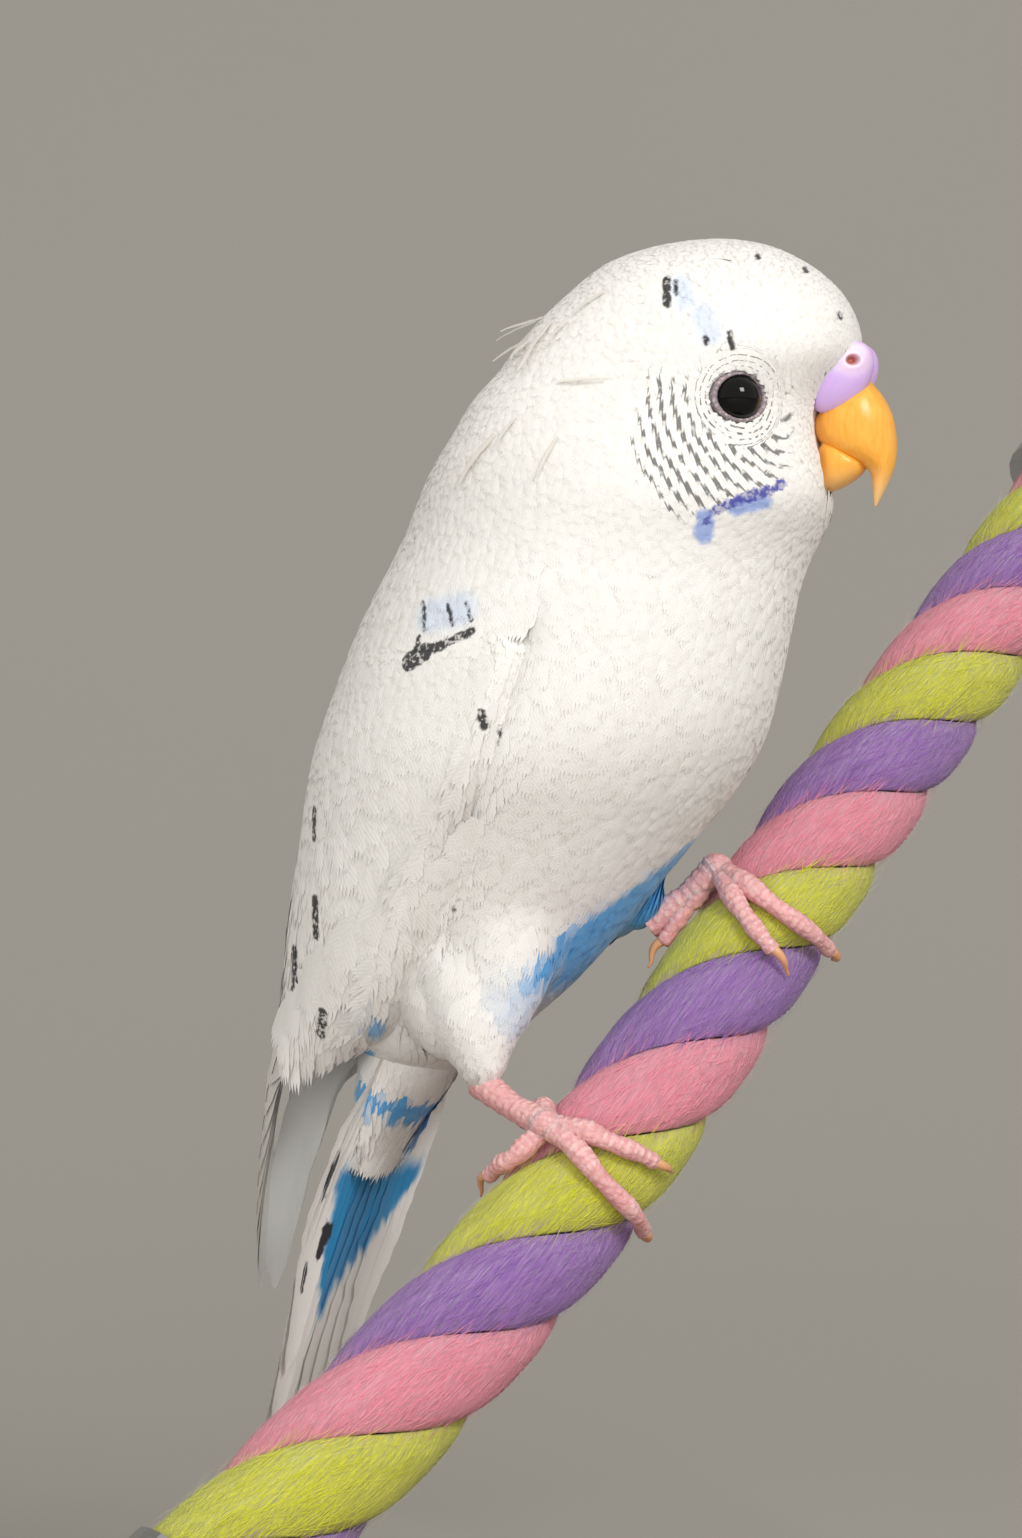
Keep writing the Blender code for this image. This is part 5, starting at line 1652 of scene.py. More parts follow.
    def drapes(self) -> None:
        """Flank feathers that lie over the low front edge of each wing."""
        for side in Side:
            feathers = Feathers("flank_feathers_" + side.name.lower())
            patch = self.sheet(side, self.drape_shape, 36, 36, Side.RIGHT, (-14.0, 0.0, -18.0))
            dress([feathers], patch, self.drape_lie, self.arm_flow, self.drape_paint, SOFT_REGION, self.rng,
                  spread=0.2)
            publish(feathers.build(self.finishes.contour), "plumage_white")

    def arm_coverts(self) -> None:
        """Lesser and median coverts over each arm."""
        for side in Side:
            feathers = Feathers("wing_coverts_" + side.name.lower())
            patch = self.sheet(side, self.arm_shape, 56, 48, Side.LEFT, (-4.0, 0.0, 4.0))
            dress([feathers], patch, self.arm_lie, self.arm_flow, no_marks, WING_REGION[side.value], self.rng)
            publish(feathers.build(self.finishes.contour), "plumage_white")


def vane_mesh(feathers: Feathers, points: Sequence[Vector], normals: Sequence[Vector],
              widths: Sequence[float], tilt: float, patch: Tuple[float, float], rng: np.random.Generator,
              inner: float = 0.5, cup: float = 0.10,
              paint: Optional[Callable[[float, float, Vector], Dict[str, float]]] = None) -> None:
    """Add one long vane: a fine sheet on both sides of its shaft, with a frayed rim.

    Args:
        feathers: Where it goes.
        points: Points of the shaft.
        normals: Outward normals there.
        widths: Full width at each point.
        tilt: Turn about the shaft, in radians.
        patch: Place of its root on the unwrapped skin.
        rng: Source of the fray.
        inner: Share of the width on the first side of the shaft.
        cup: Rise of the shaft over the edges, as a share of the width.
        paint: Numbers at a place across and along the vane.
    """
    columns = (-1.0, -0.66, -0.33, 0.0, 0.33, 0.66, 1.0)
    rows = []
    vane = []
    shade = []
    numbers: Dict[str, List[float]] = {"blue": [], "black": []}
    fray = rng.normal(0.0, 0.05, size=(len(points), 2))
    for i, point in enumerate(points):
        tangent = tangent_at(points, i)
        normal = squared(normals[i], tangent)
        normal = Matrix.Rotation(tilt, 3, tangent) @ normal
        side = tangent.cross(normal)
        t = i / (len(points) - 1)
        for x in columns:
            share = inner if x < 0 else 1.0 - inner
            edge = 1.0 + (fray[i][0 if x < 0 else 1] if abs(x) > 0.9 else 0.0)
            out = x * share * widths[i] * edge
            spot = point + side * out - normal * cup * widths[i] * x * x - tangent * 0.18 * widths[i] * abs(x)
            rows.append(tuple(spot))
            vane.append((0.5 + 0.5 * x, t))
            shade.append(tuple(normals[i] + side * x * 0.25 + tangent * 0.08))
            marks = paint(x, t, spot) if paint else {}
            for key in numbers:
                numbers[key].append(marks.get(key, 0.0))
    flat = np.array(vane)
    spread = {key: np.array(values) for key, values in numbers.items()}
    feathers.extend(np.array(rows), np.array(grid_faces(len(points), len(columns))), flat,
                    np.array(patch) + (flat - 0.5) * PATCH_SIZE, np.array(shade),
                    rand=np.full(len(rows), float(rng.random())), **spread)


def shaft_mesh(feathers: Feathers, points: Sequence[Vector], normals: Sequence[Vector], radius: float,
               patch: Tuple[float, float], lift: float) -> None:
    """Add the shaft of a vane, a slim three-sided taper that stands a little proud.

    Args:
        feathers: Where it goes.
        points: Points of the shaft.
        normals: Outward normals there.
        radius: Radius at the root.
        patch: Place of its root on the unwrapped skin.
        lift: How far it stands over the vane.
    """
    rows = []
    shade = []
    for i, point in enumerate(points):
        tangent = tangent_at(points, i)
        normal = squared(normals[i], tangent)
        side = tangent.cross(normal)
        shade += [tuple(normal), tuple(normal - side), tuple(normal + side)]
        size = mix(radius, 0.25 * radius, i / (len(points) - 1))
        centre = point + normal * lift
        rows += [tuple(centre + normal * size), tuple(centre - side * size), tuple(centre + side * size)]
    faces = []
    for r, k in product(range(len(points) - 1), range(3)):
        a = 3 * r + k
        b = 3 * r + (k + 1) % 3
        faces += [(a, b, b + 3), (a, b + 3, a + 3)]
    flat = np.tile(np.array([[0.5, 0.5]]), (len(rows), 1))
    feathers.extend(np.array(rows), np.array(faces), flat, flat * 0.001 + np.array(patch), np.array(shade))


def round_tip(t: float, start: float) -> float:
    """Width share of a vane that is full until start and round after it."""
    if t <= start:
        return 1.0
    u = (t - start) / (1.0 - start)
    return math.sqrt(max(0.0, 1.0 - u * u)) * 0.97 + 0.03


def vane_widths(width: float, root: float, tip: float, steps: int) -> List[float]:
    """Widths along a vane that is a share narrower at its root and round from tip on."""
    return [width * (root + (1.0 - root) * smoothstep(0.0, 0.4, k / steps)) * round_tip(k / steps, tip)
            for k in range(steps + 1)]


@dataclass(frozen=True)
class Tier:
    """A row of wing vanes: angles round the body, heights, depth and size."""

    count: int
    front: float
    back: float
    slant: float
    root_front: float
    root_back: float
    tip_front: float
    tip_back: float
    depth: Tuple[float, float]
    width: float


class WingFeathers:
    """Primaries and secondaries of both wings, whose roots lie under the coverts."""

    SECONDARIES = Tier(12, 86.0, WING.back, -3.0, 0.0, -6.0, -18.0, -30.5, (2.1, 1.05), 6.4)
    PRIMARIES = 9

    def __init__(self, finishes: Finishes) -> None:
        """Keep the finishes and seed the draws."""
        self.finishes = finishes
        self.rng = np.random.default_rng(11)

    def path(self, side: int, root: Tuple[float, float], tip: Tuple[float, float], depth: Tuple[float, float],
             steps: int) -> Tuple[List[Vector], List[Vector]]:
        """Shaft of a vane on the folded wing.

        Args:
            side: 1 for the left wing and -1 for the right.
            root: Angle and height of the root.
            tip: Angle and height of the tip.
            depth: Depth of the root and of the tip below the outer surface.
            steps: Spans between its points.

        Returns:
            The points, and the outward normals there.
        """
        points = []
        normals = []
        for i in range(steps + 1):
            t = i / steps
            degrees = mix(root[0], tip[0], t)
            place, normal = WING.on(side, degrees, mix(root[1], tip[1], t), mix(depth[0], depth[1], t))
            points.append(place)
            normals.append(normal)
        return points, normals

    def primaries(self, feathers: Feathers, shafts: Feathers, side: int) -> None:
        """Long flight feathers whose tips pass the secondaries."""
        for i in range(self.PRIMARIES):
            u = i / (self.PRIMARIES - 1)
            tip = (mix(156.0, 120.0, u) + float(self.rng.normal(0, 0.8)), mix(-61.5, -33.0, u))
            depth = (2.5 - 0.3 * u, 1.9 - 0.9 * u)
            points, normals = self.path(side, (126.0 + 14.0 * u, -12.0), tip, depth, 18)
            widths = vane_widths(5.2, 0.75, 0.72, 18)
            patch = unwrap(points[0], WING_REGION[side])
            inner = 0.66 if side > 0 else 0.34
            vane_mesh(feathers, points, normals, widths, math.radians(5.0 * side), patch, self.rng, inner)
            shaft_mesh(shafts, points[:-1], normals[:-1], 0.2, patch, 0.1)

    def secondaries(self, feathers: Feathers, shafts: Feathers, side: int) -> None:
        """Row of broad flight feathers over the primaries."""
        tier = self.SECONDARIES
        for i in range(tier.count):
            u = i / (tier.count - 1)
            angle = mix(tier.front, tier.back, u)
            root = (angle + tier.slant, mix(tier.root_front, tier.root_back, u))
            drop = math.sin(0.5 * math.pi * min(1.0, 1.5 * u))
            low = mix(tier.tip_front, tier.tip_back, drop) + float(self.rng.normal(0, 0.35))
            depth = (tier.depth[0] - 0.012 * i, tier.depth[1] - 0.012 * i)
            points, normals = self.path(side, root, (angle, low), depth, 14)
            widths = vane_widths(tier.width, 0.8, 0.68, 14)
            patch = unwrap(points[0], WING_REGION[side])
            vane_mesh(feathers, points, normals, widths, math.radians(6.0 * side), patch, self.rng)
            shaft_mesh(shafts, points[:-2], normals[:-2], 0.07, patch, 0.0)

    def build(self) -> None:
        """Make both wings."""
        shafts = Feathers("wing_shafts")
        for side in Side:
            for name, fill, finish in (("wing_primaries_", self.primaries, self.finishes.primary),
                                       ("wing_vanes_", self.secondaries, self.finishes.wing)):
                feathers = Feathers(name + side.name.lower())
                fill(feathers, shafts, side.value)
                publish(feathers.build(finish), "plumage_white")
        publish(shafts.build(self.finishes.shaft), "plumage_white")


class Tail:
    """Tail root, its coverts, and graduated feathers in pairs."""

    ROOT = (-20.5, 0.0, -30.5)
    SLOPE = 21.5
    CORE = ((0.0, 6.6, 6.8), (6.0, 5.4, 6.8), (11.0, 3.2, 6.0), (15.0, 2.1, 4.8), (19.0, 1.6, 3.8),
            (24.0, 1.4, 3.0))
    PAIRS = (81.0, 72.0, 64.0, 56.0, 49.0, 42.0)
    WIDTH = 6.2
    WEDGE_LOW = ((-14.0, -6.6), (-20.0, -5.4), (-30.0, -3.3), (-36.5, -0.2), (-60.0, -0.2))
    WEDGE_HIGH = ((-14.0, 10.5), (-20.0, 8.6), (-30.0, 2.6), (-36.5, 0.2), (-60.0, 0.2))
    BLACKS = ((-7.6, 13.6, 21.0, 1.3), (-4.6, 22.6, 28.6, 2.2), (-6.4, 27.6, 32.2, 1.2))

    def __init__(self, finishes: Finishes) -> None:
        """Keep the finishes and set the tail's own directions."""
        self.finishes = finishes
        self.rng = np.random.default_rng(23)
        a = math.radians(self.SLOPE)
        self.root = POSE.bird_point(*self.ROOT)
        self.along = turned(-math.sin(a), 0.0, POSE.body_yaw) + Vector((0.0, 0.0, -math.cos(a)))
        self.dorsal = turned(-math.cos(a), 0.0, POSE.body_yaw) + Vector((0.0, 0.0, math.sin(a)))
        self.left = turned(0.0, 1.0, POSE.body_yaw)

    def measured(self, place: Vector) -> Tuple[float, float, float]:
        """Distance along the tail, to its left and toward its upper face."""
        d = place - self.root
        return d.dot(self.along), d.dot(self.left), d.dot(self.dorsal)

    def core(self, grow: float, sides: int, rings_kept: int = 21) -> BMesh:
        """Fleshy root of the tail, or its upper rings alone."""
        rings = []
        for i in range(rings_kept):
            distance, deep, wide = spline(self.CORE, i / 4)
            middle = self.root + self.along * (distance - 1.5)
            rings.append([middle + self.dorsal * (deep + grow) * math.cos(a)
                          + self.left * (wide + grow) * math.sin(a) for a in around(sides)])
        return loft(rings)

    def blue(self, place: Vector) -> float:
        """Blue band across the coverts and blue edge below it."""
        s, left, up = self.measured(place)
        band = smoothstep(7.2, 8.6, s) * smoothstep(12.0, 10.6, s) * smoothstep(4.0, 0.0, up)
        edge = smoothstep(9.0, 10.0, s) * smoothstep(19.0, 16.0, s) * smoothstep(2.5, 4.5, left)
        spot = smoothstep(4.0, 2.5, s) * smoothstep(1.0, 3.0, up)
        return max(0.85 * band, 0.95 * edge, spot)

    def lie(self, place: Vector) -> Optional[Lie]:
        """Long soft coverts under and over the tail."""
        s, _, _ = self.measured(place)
        if s > 12.5:
            return None
        return Lie(mix(3.6, 5.4, smoothstep(0.0, 12.0, s)), 1.2, 0.75, 0.1)

    def feather_paint(self, _: float, __: float, place: Vector) -> Dict[str, float]:
        """Markings at a place on a tail feather: a blue wedge that narrows, and black strokes beside it."""
        s, left, _ = self.measured(place)
        low = spline_at(self.WEDGE_LOW, -s)[1]
        high = spline_at(self.WEDGE_HIGH, -s)[1]
        inside = smoothstep(low - 0.3, low + 0.5, left) * smoothstep(high + 0.3, high - 0.5, left)
        blue = inside * smoothstep(14.5, 18.5, s)
        black = 0.0
        for across, start, end, width in self.BLACKS:
            run = min(1.0, max(0.0, (s - start) / (end - start)))
            half = 0.5 * width * math.sin(math.pi * run ** 0.8)
            mask = smoothstep(half + 0.3, half - 0.3, abs(left - across))
            black = max(black, mask * smoothstep(0.0, 0.3, half))
        return {"blue": blue, "black": black}

    def build(self) -> None:
        """Make the tail."""
        root = from_bmesh("tail_root", self.core(-0.8, 40, 12), self.finishes.contour)
        blank_marks(root, blue=np.array([self.blue(v.co / MM) for v in root.data.vertices]))
        root.data.uv_layers.new(name="OFBake")
        publish(root, "plumage_white", "tail")
        coverts = Feathers("tail_coverts")
        dress([coverts], self.core(-0.45, 60), self.lie, lambda _: self.along,
              lambda place: {"blue": self.blue(place)}, SOFT_REGION, self.rng)
        publish(coverts.build(self.finishes.contour), "plumage_white")
        vanes = Feathers("tail_feathers")
        shafts = Feathers("tail_shafts")
        for pair, length in reversed(list(enumerate(self.PAIRS))):
            for side in Side:
                self.feather(vanes, shafts, pair, length, side.value)
        publish(vanes.build(self.finishes.tail), "plumage_white")
        publish(shafts.build(self.finishes.shaft), "plumage_white")

    def feather(self, vanes: Feathers, shafts: Feathers, pair: int, length: float, side: int) -> None:
        """Add one tail feather with its shaft.

        Args:
            vanes: Where the vane goes.
            shafts: Where the shaft goes.
            pair: Number of its pair, from the middle.
            length: Distance of its tip from the tail's root.
            side: 1 for the left side and -1 for the right.
        """
        steps = 26
        points = []
        widths = []
        for i in range(steps + 1):
            t = i / steps
            open_tail = mix(0.9 + 0.9 * pair, 0.8 + 1.35 * pair, smoothstep(0.0, 0.25, t))
            spread = side * (open_tail - 0.4 * pair * smoothstep(0.4, 1.0, t))
            bow = 1.2 * math.sin(math.pi * t)
            place = self.root + self.along * mix(3.0, length, t) + self.left * spread
            points.append(place + self.dorsal * (0.4 - 0.2 * pair + bow - (0.25 if side > 0 else 0.0)))
            taper = 0.72 if pair < 2 else 0.6
            full = self.WIDTH * (0.75 + 0.3 * t) * (1.0 - taper * smoothstep(0.55, 1.0, t))
            widths.append(full * round_tip(t, 0.93))
        patch = unwrap(points[0], SOFT_REGION)
        inner = 0.6 if side > 0 else 0.4
        normals = [self.dorsal] * (steps + 1)
        vane_mesh(vanes, points, normals, widths, math.radians(4.0 * side), patch, self.rng, inner, 0.05,
                  self.feather_paint)
        shaft_mesh(shafts, points[:-2], normals[:-2], 0.16, patch, 0.0)


class Head:
    """Eyes with their lids, cere and bill."""

    EYE_RADIUS = 2.75
    EYE_TURN = 35.0
    EYE_SINK = 1.25
    LID_INNER = (2.62, 2.36)
    LID_OUTER = (3.4, 2.95)
    NOSTRIL = (20.1, 2.9, 44.3)
    LOBE = (18.5, 1.9, 42.6)
    LOBE_RADII = (3.0, 2.7, 4.5)
    LOBE_TILT = 38.0
    UPPER_BILL = (
        (42.2, 19.8, 21.6, 1.6),
        (40.6, 17.8, 22.9, 3.1),
        (38.6, 15.6, 23.9, 3.8),
        (36.6, 15.4, 24.3, 3.8),
        (35.2, 16.4, 24.4, 3.5),
        (34.2, 18.2, 24.35, 3.0),
        (33.2, 20.4, 24.2, 2.3),
        (32.2, 21.5, 23.9, 1.7),
        (30.8, 21.7, 23.3, 1.2),
        (29.6, 21.8, 22.7, 0.7),
        (28.6, 21.95, 22.15, 0.15),
    )
    LOWER_BILL = (
        (35.6, 16.2, 17.4, 1.8),
        (34.8, 15.8, 19.0, 2.7),
        (33.6, 15.6, 20.8, 2.9),
        (32.6, 15.5, 20.9, 2.7),
        (31.6, 15.5, 19.9, 2.3),
        (30.8, 15.6, 18.6, 1.6),
        (30.3, 15.9, 17.4, 0.5),
    )

    def __init__(self, finishes: Finishes) -> None:
        """Keep the finishes."""
        self.finishes = finishes

    def eye_frame(self, side: int, sink: float) -> Tuple[Vector, Matrix]:
        """Centre of an eye and a turn whose Z is its outward direction and Y is up."""
        a = math.radians(self.EYE_TURN)
        outward = turned(math.sin(a), side * math.cos(a), POSE.head_yaw)
        across = Vector((0.0, 0.0, 1.0)).cross(outward).normalized()
        turn = Matrix((across, Vector((0.0, 0.0, 1.0)), outward)).transposed()
        forward, left, up = EYE_SPOT
        return POSE.head_point(forward, side * left, up) - outward * sink, turn

    def eyes(self) -> None:
        """Glossy eyes, each with a bare wrinkled ring of lid."""
        for side in Side:
            name = side.name.lower()
            centre, _ = self.eye_frame(side.value, self.EYE_SINK)
            bm = ball(48, 32, lambda co, centre=centre: centre + co * self.EYE_RADIUS)
            publish(from_bmesh("eyeball_" + name, bm, self.finishes.eye), "eye_black", "eye_" + name)
            publish(from_bmesh("eyelid_" + name, self.lid(side.value), self.finishes.lid), "skin_pink")

    def lid(self, side: int) -> BMesh:
        """Ring of soft lid with low wrinkles, wider than it is tall."""
        centre, turn = self.eye_frame(side, 0.0)
        bm = bmesh.new()
        profile = ((0.0, -0.35), (0.0, 0.07), (0.16, 0.2), (0.5, 0.24), (0.82, 0.08), (1.0, -0.6))
        rows = []
        for share, rise in profile:
            row = []
            for a in around(96):
                inner, outer = [Vector((wide * math.cos(a), tall * math.sin(a)))
                                for wide, tall in (self.LID_INNER, self.LID_OUTER)]
                rim = math.sqrt(self.EYE_RADIUS ** 2 - inner.length_squared) - self.EYE_SINK
                wrinkle = 0.035 * math.sin(29.0 * a) + 0.03 * math.sin(47.0 * a + 1.0)
                spot = inner.lerp(outer, share)
                height = mix(rim, -0.25, share ** 1.3) + rise + wrinkle * (rise > 0)
                row.append(bm.verts.new(centre + turn @ Vector((spot.x, spot.y, height))))
            rows.append(row)
        for low, high in [*zip(rows, rows[1:]), (rows[-1], rows[0])]:
            for k, first in enumerate(low):
                n = (k + 1) % len(low)
                bm.faces.new((first, low[n], high[n], high[k]))
        bmesh.ops.recalc_face_normals(bm, faces=bm.faces)
        return bm

    def cere(self) -> None:
        """Two waxy lobes with a nostril in each."""
        forward, left, up = self.LOBE
        tilt = Matrix.Rotation(math.radians(self.LOBE_TILT), 3, "Y")
        turn = Matrix.Rotation(math.radians(-POSE.head_yaw), 3, "Z") @ tilt
        things = []
        for side in Side:
            centre = POSE.head_point(forward, side.value * left, up)
            bm = ball(48, 32, lambda co, centre=centre: centre + turn @ (co * Vector(self.LOBE_RADII)))
            things.append(from_bmesh("cere_" + side.name.lower(), bm, self.finishes.cere))
        whole, other = things
        joined(whole, other)
        softened(whole, 0.14, 8)
        whole.name = "cere_skin"
        pits = []
        for vertex in whole.data.vertices:
            place = vertex.co / MM
            f, w, u = POSE.in_head(place)
            far = math.hypot((f - self.NOSTRIL[0]) / 1.25, u - self.NOSTRIL[2])
            near = smoothstep(0.75, 0.2, far) if abs(w) > 1.2 else 0.0
            rim = smoothstep(1.5, 0.8, far) * smoothstep(0.45, 0.75, far) if abs(w) > 1.2 else 0.0
            inward = turned(-0.35, -math.copysign(0.9, w), POSE.head_yaw)
            vertex.co = (place + inward * 0.9 * near - inward * 0.16 * rim) * MM
            pits.append(near)
        number_attribute(whole, "pit", np.array(pits))
        publish(whole, "cere_lilac", "cere")

    def bill(self) -> None:
        """Hooked upper bill with its cutting edge, and the short lower bill tucked under it."""
        upper = self.horn(self.UPPER_BILL, 60, 1.0, 0.06)
        publish(from_bmesh("upper_bill_horn", upper, self.finishes.bill), "horn_orange", "bill_upper")
        lower = self.horn(self.LOWER_BILL, 40, 0.8, 0.0)
        publish(from_bmesh("lower_bill_horn", lower, self.finishes.bill), "horn_orange", "bill_lower")

    def horn(self, rows: Sequence[Row], count: int, blunt: float, keel: float) -> BMesh:
        """Half of the bill.

        Args:
            rows: Height, back, front and half width of its level sections.
            count: Spans between its rings.
            blunt: Power of its outline, below 1 for a blunter front.
            keel: Share of its width that it loses toward its ridge.

        Returns:
            The bmesh.
        """
        rings = []
        for i in range(count + 1):
            up, back, front, half = spline(rows, i / count * (len(rows) - 1))
            half = max(0.08, half)
            ring = []
            for a in around(48):
                c = math.copysign(abs(math.cos(a)) ** blunt, math.cos(a))
                forward = 0.5 * (front + back) + 0.5 * (front - back) * c
                wide = half * (1.0 - keel * math.cos(a) ** 8 * (half > 1.0))
                ring.append(POSE.head_point(forward, wide * math.sin(a), up))
            rings.append(ring)
        return loft(rings)

    def build(self) -> None:
        """Make the pieces of the face."""
        self.eyes()
        self.cere()
        self.bill()


@dataclass(frozen=True)
class Rope:
    """Three laid strands of soft fibre along a gently curved line."""

    route: Tuple[Row, ...] = (
        (-32.7, -30.0, -86.6),
        (-16.0, -20.0, -71.4),
        (2.6, -9.0, -52.4),
        (19.0, 2.0, -31.8),
        (36.6, 17.0, -7.8),
        (61.6, 38.0, 23.7),
        (68.6, 43.0, 32.7),
    )
    low_radius: float = 8.35
    high_radius: float = 7.5
    length: float = 173.0
    groove: float = 0.15
    lay_start: float = 15.2
    lay_rate: float = 0.02198
    lay_tightening: float = 3.3e-5
    lay_second: float = 60.7

    def table(self) -> List[Tuple[float, Vector]]:
        """Distances and points along the centre line."""
        steps = 12 * (len(self.route) - 1)
        points = [Vector(spline(self.route, i / 12)) for i in range(steps + 1)]
        walked = [0.0]
        for a, b in zip(points, points[1:]):
            walked.append(walked[-1] + (b - a).length)
        return list(zip(walked, points))

    def axis(self, s: float) -> Tuple[Vector, Vector]:
        """Point and direction of the centre line at a distance from the low end."""
        rows = ROPE_TABLE
        i = 0
        while i < len(rows) - 2 and rows[i + 1][0] < s:
            i += 1
        share = (s - rows[i][0]) / (rows[i + 1][0] - rows[i][0])
        place = rows[i][1].lerp(rows[i + 1][1], share)
        ahead = rows[min(len(rows) - 1, i + 3)][1]
        behind = rows[max(0, i - 2)][1]
        return POSE.rope + place, (ahead - behind).normalized()

    def frame(self, s: float) -> Tuple[Vector, Vector, Vector, Vector]:
        """Centre, direction, and the directions at 0 and 90 degrees round the rope."""
        place, tangent = self.axis(s)
        near = squared(Vector((0.0, -1.0, 0.0)), tangent)
        return place, tangent, near, tangent.cross(near)

    def point(self, s: float, degrees: float, radius: float) -> Vector:
        """Point round the rope."""
        place, _, near, side = self.frame(s)
        angle = math.radians(degrees)
        return place + (near * math.cos(angle) + side * math.sin(angle)) * radius

    def radius(self, s: float) -> float:
        """Crest radius at a distance from the low end."""
        return mix(self.low_radius, self.high_radius, s / self.length)

    def turn(self, s: float, number: int) -> float:
        """Angle of the middle of a strand."""
        walked = s - self.lay_start
        turns = self.lay_rate * walked + self.lay_tightening * walked * (s - self.lay_second)
        return 360.0 * (turns - number / 3.0)


ROPE = Rope()
ROPE_TABLE = ROPE.table()


class RopePieces:
    """Fine strands with fibre relief and stray hairs."""

    COLOURS = ("green", "pink", "purple")
    SINK = 0.18
    RIDGE = 0.16
    FINE = 0.07
    LENGTHS = 230
    WIDTHS = 40
    HAIRS = 4200
    HAIR_WIDTH = 0.028
    HAIR_LENGTHS = (1.2, 4.5)

    def __init__(self, finishes: Finishes) -> None:
        """Keep the finishes and seed the draws."""
        self.finishes = finishes
        self.rng = np.random.default_rng(31)

    def strand(self, number: int) -> Tuple[BMesh, List[Tuple[float, float]]]:
        """One strand with soft ridges of fibre.

        Args:
            number: Number of the strand.

        Returns:
            The bmesh, and the lay of each vertex in millimetres.
        """
        count = self.LENGTHS
        across = self.WIDTHS
        rings = []
        lay = []
        for i in range(count + 1):
            s = ROPE.length * i / count
            middle = ROPE.turn(s, number)
            radius = ROPE.radius(s)
            edge = math.degrees(0.1 / (0.62 * radius))
            ring = [ROPE.point(s, middle, 0.2)]
            lay.append((s, 0.0))
            for k in range(across):
                u = 2.0 * k / (across - 1) - 1.0
                angle = middle + u * (60.0 - edge)
                arc = math.radians(angle) * radius
                ridge = noise.noise(Vector((0.09 * s, 1.1 * arc, 3.0 * number)))
                fine = noise.noise(Vector((0.2 * s, 3.0 * arc, 7.0 + number)))
                bulge = radius * (1.0 - (ROPE.groove + 0.03) * abs(u) ** 3) - self.SINK
                ring.append(ROPE.point(s, angle, bulge + self.RIDGE * ridge + self.FINE * fine))
                lay.append((s, arc))
            rings.append(ring)
        return loft(rings), lay

    def hair_way(self, along: Vector, round_way: Vector, out: Vector, lean: float) -> Vector:
        """Direction of a stray fibre, near the rope's own direction."""
        way = along + round_way * float(self.rng.normal(lean, 0.3))
        return (way + out * float(self.rng.uniform(0.0, 0.22))).normalized()

    def hairs(self, number: int, amount: int) -> Feathers:
        """Stray fibres that stand a little off a strand.

        Args:
            number: Number of the strand.
            amount: Number of fibres.

        Returns:
            The fibres.
        """
        hairs = Feathers("perch_fuzz_" + self.COLOURS[number])
        points = []
        faces = []
        lay = []
        shade = []
        for _ in range(amount):
            s = float(self.rng.uniform(1.0, ROPE.length - 1.0))
            u = float(self.rng.uniform(-1.0, 1.0))
            length = float(self.rng.uniform(*self.HAIR_LENGTHS))
            angle = ROPE.turn(s, number) + 58.0 * u
            radius = ROPE.radius(s) * (1.0 - ROPE.groove * abs(u) ** 3) - 0.12
            place, tangent, near, side = ROPE.frame(s)
            a = math.radians(angle)
            out = near * math.cos(a) + side * math.sin(a)
            way = self.hair_way(tangent, tangent.cross(out), out, 0.25)
            if self.rng.random() < 0.5:
                way = self.hair_way(-tangent, tangent.cross(out), out, -0.2)
            start = place + out * radius
            wide = way.cross(out).normalized() * self.HAIR_WIDTH
            base = len(points)
            for t in (0.0, 0.5, 1.0):
                sag = out * (0.22 * t * (1.0 - t) - 0.35 * t * t * (length / 8.0) ** 2)
                spot = start + way * length * t + sag
                points += [tuple(spot - wide * (1.0 - 0.7 * t)), tuple(spot + wide * (1.0 - 0.7 * t))]
                shade += [tuple(out)] * 2
                lay += [(s, math.radians(angle) * radius)] * 2
            for r in (0, 2):
                faces += [(base + r, base + r + 1, base + r + 3), (base + r, base + r + 3, base + r + 2)]
        flat = np.array(lay)
        patch = np.stack([flat[:, 0] / ROPE.length, np.mod(flat[:, 1] / 52.0, 1.0)], axis=-1)
        hairs.extend(np.array(points), np.array(faces), flat, patch, np.array(shade))
        return hairs

    def build(self) -> None:
        """Make the three strands and their fuzz."""
        for number, colour in enumerate(self.COLOURS):
            bm, lay = self.strand(number)
            finish = self.finishes.strands[colour]
            thing = from_bmesh("perch_rope_" + colour, bm, finish)
            layer = thing.data.uv_layers.new(name="Lay")
            lay += [(0.0, 0.0), (ROPE.length, 0.0)]
            for loop in thing.data.loops:
                layer.uv[loop.index].vector = lay[min(loop.vertex_index, len(lay) - 1)]
            publish(thing, "strand_" + colour, "perch_strand_" + colour)
            fuzz = self.hairs(number, self.HAIRS).build(finish)
            fuzz.data.uv_layers["Vane"].name = "Lay"
            publish(fuzz, "strand_" + colour)


